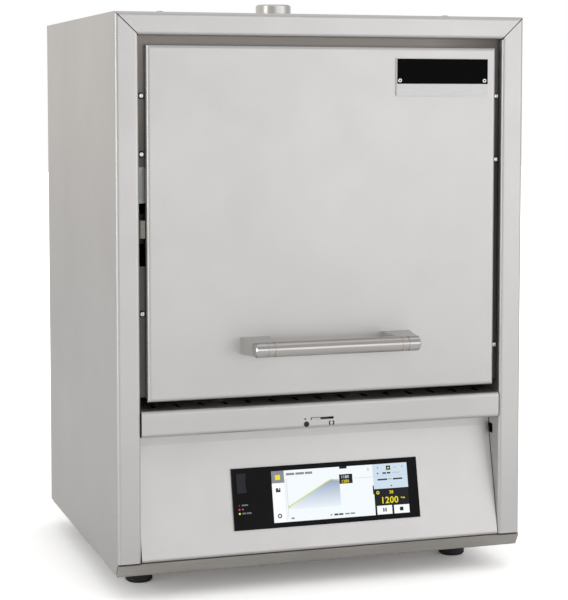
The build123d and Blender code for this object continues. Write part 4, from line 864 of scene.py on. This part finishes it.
def studio_floor():
    # The camera sees it white, and pure white further out; the object's shadow stays grey
    material, tree, bsdf = new_material("white studio floor")
    rays = add_node(tree, "LightPath", {}).outputs
    whites = {"data_type": "RGBA", 6: FLOOR_MIRRORED, 7: FLOOR_SEEN}
    colour = add_node(tree, "Mix", whites, i0=rays["Is Camera Ray"]).outputs[2]
    place = add_node(tree, "TexCoord", {}).outputs["Object"]
    reach = add_node(tree, "VectorMath", {"operation": "LENGTH"}, i0=place).outputs["Value"]
    limits = {"From Min": 0.3, "From Max": 1.4, "To Min": 0.08, "To Max": 1.0}
    lift = add_node(tree, "MapRange", limits, Value=reach)
    glow = add_node(tree, "Math", {"operation": "MULTIPLY"}, i0=rays["Is Camera Ray"], i1=lift)
    link(tree, bsdf, Base_Color=colour, Emission_Strength=glow)
    bsdf.inputs["Emission Color"].default_value = WHITE
    bsdf.inputs["Roughness"].default_value = 0.95
    bsdf.inputs["Specular IOR Level"].default_value = 0.1
    return material


floor_mesh = bmesh.new()
bmesh.ops.create_grid(floor_mesh, x_segments=2, y_segments=2, size=8.0)
floor_data = bpy.data.meshes.new("floor")
floor_mesh.to_mesh(floor_data)
floor_mesh.free()
floor = bpy.data.objects.new("floor", floor_data)
bpy.context.scene.collection.objects.link(floor)
floor_data.materials.append(studio_floor())

world = bpy.data.worlds.new("studio")
world.use_nodes = True
bpy.context.scene.world = world
sky = world.node_tree
direction = add_node(sky, "TexCoord", {}).outputs["Generated"]
facing = add_node(sky, "VectorMath", {"operation": "DOT_PRODUCT", 1: ROOM_FRONT}, i0=direction)
share = add_node(sky, "MapRange", {"From Min": -1.0, "From Max": 1.0}, Value=facing.outputs["Value"])
room = add_node(sky, "ValToRGB", {"stops": ROOM_MIRRORED}, Fac=share)
rays = add_node(sky, "LightPath", {}).outputs
mirrored = add_node(sky, "Math", {"operation": "MAXIMUM"}, i0=rays["Is Glossy Ray"],
                    i1=rays["Is Transmission Ray"])
lit = add_node(sky, "Mix", {"data_type": "RGBA", 6: ROOM_LIGHT}, i0=mirrored, i7=room)
seen = add_node(sky, "Mix", {"data_type": "RGBA", 7: WHITE}, i0=rays["Is Camera Ray"], i6=lit.outputs[2])
link(sky, sky.nodes["Background"], Color=seen.outputs[2])
sky.nodes["Background"].inputs["Strength"].default_value = 1.0


def soft_lamp(name, place, aim, size, power):
    data = bpy.data.lights.new(name, "AREA")
    data.shape = "RECTANGLE"
    data.size = size[0]
    data.size_y = size[1]
    data.energy = power
    lamp = bpy.data.objects.new(name, data)
    lamp.location = place
    lamp.rotation_euler = (Vector(aim) - Vector(place)).to_track_quat("-Z", "Y").to_euler()
    bpy.context.scene.collection.objects.link(lamp)


soft_lamp("key", (2.2, -1.5, 1.9), (0, 0, 0.3), (1.2, 1.2), 6)
soft_lamp("front", (0.8, -2.2, 0.46), (0, 0, 0.3), (1.9, 0.8), 5.2)
soft_lamp("right", (1.9, -1.5, 0.55), (0, 0, 0.25), (0.8, 1.3), 3.8)
soft_lamp("top", (0.1, -0.2, 1.9), (0, 0, 0.2), (1.6, 1.6), 2.5)
soft_lamp("left_strip", (-1.9, -0.75, 0.5), (-0.2, 0, 0.3), (0.14, 1.0), 5.6)

camera_data = bpy.data.cameras.new("camera")
camera_data.sensor_fit = "VERTICAL"
camera_data.sensor_height = 36.0
camera_data.lens = 104.717
camera_data.shift_y = -0.12
camera = bpy.data.objects.new("camera", camera_data)
camera.location = (-0.4573, -1.4332, 0.3895)
camera.rotation_euler = Euler((math.radians(90 - 4.181), 0, math.radians(-17.993)))
bpy.context.scene.collection.objects.link(camera)
bpy.context.scene.camera = camera
bpy.context.scene.view_settings.view_transform = "Standard"
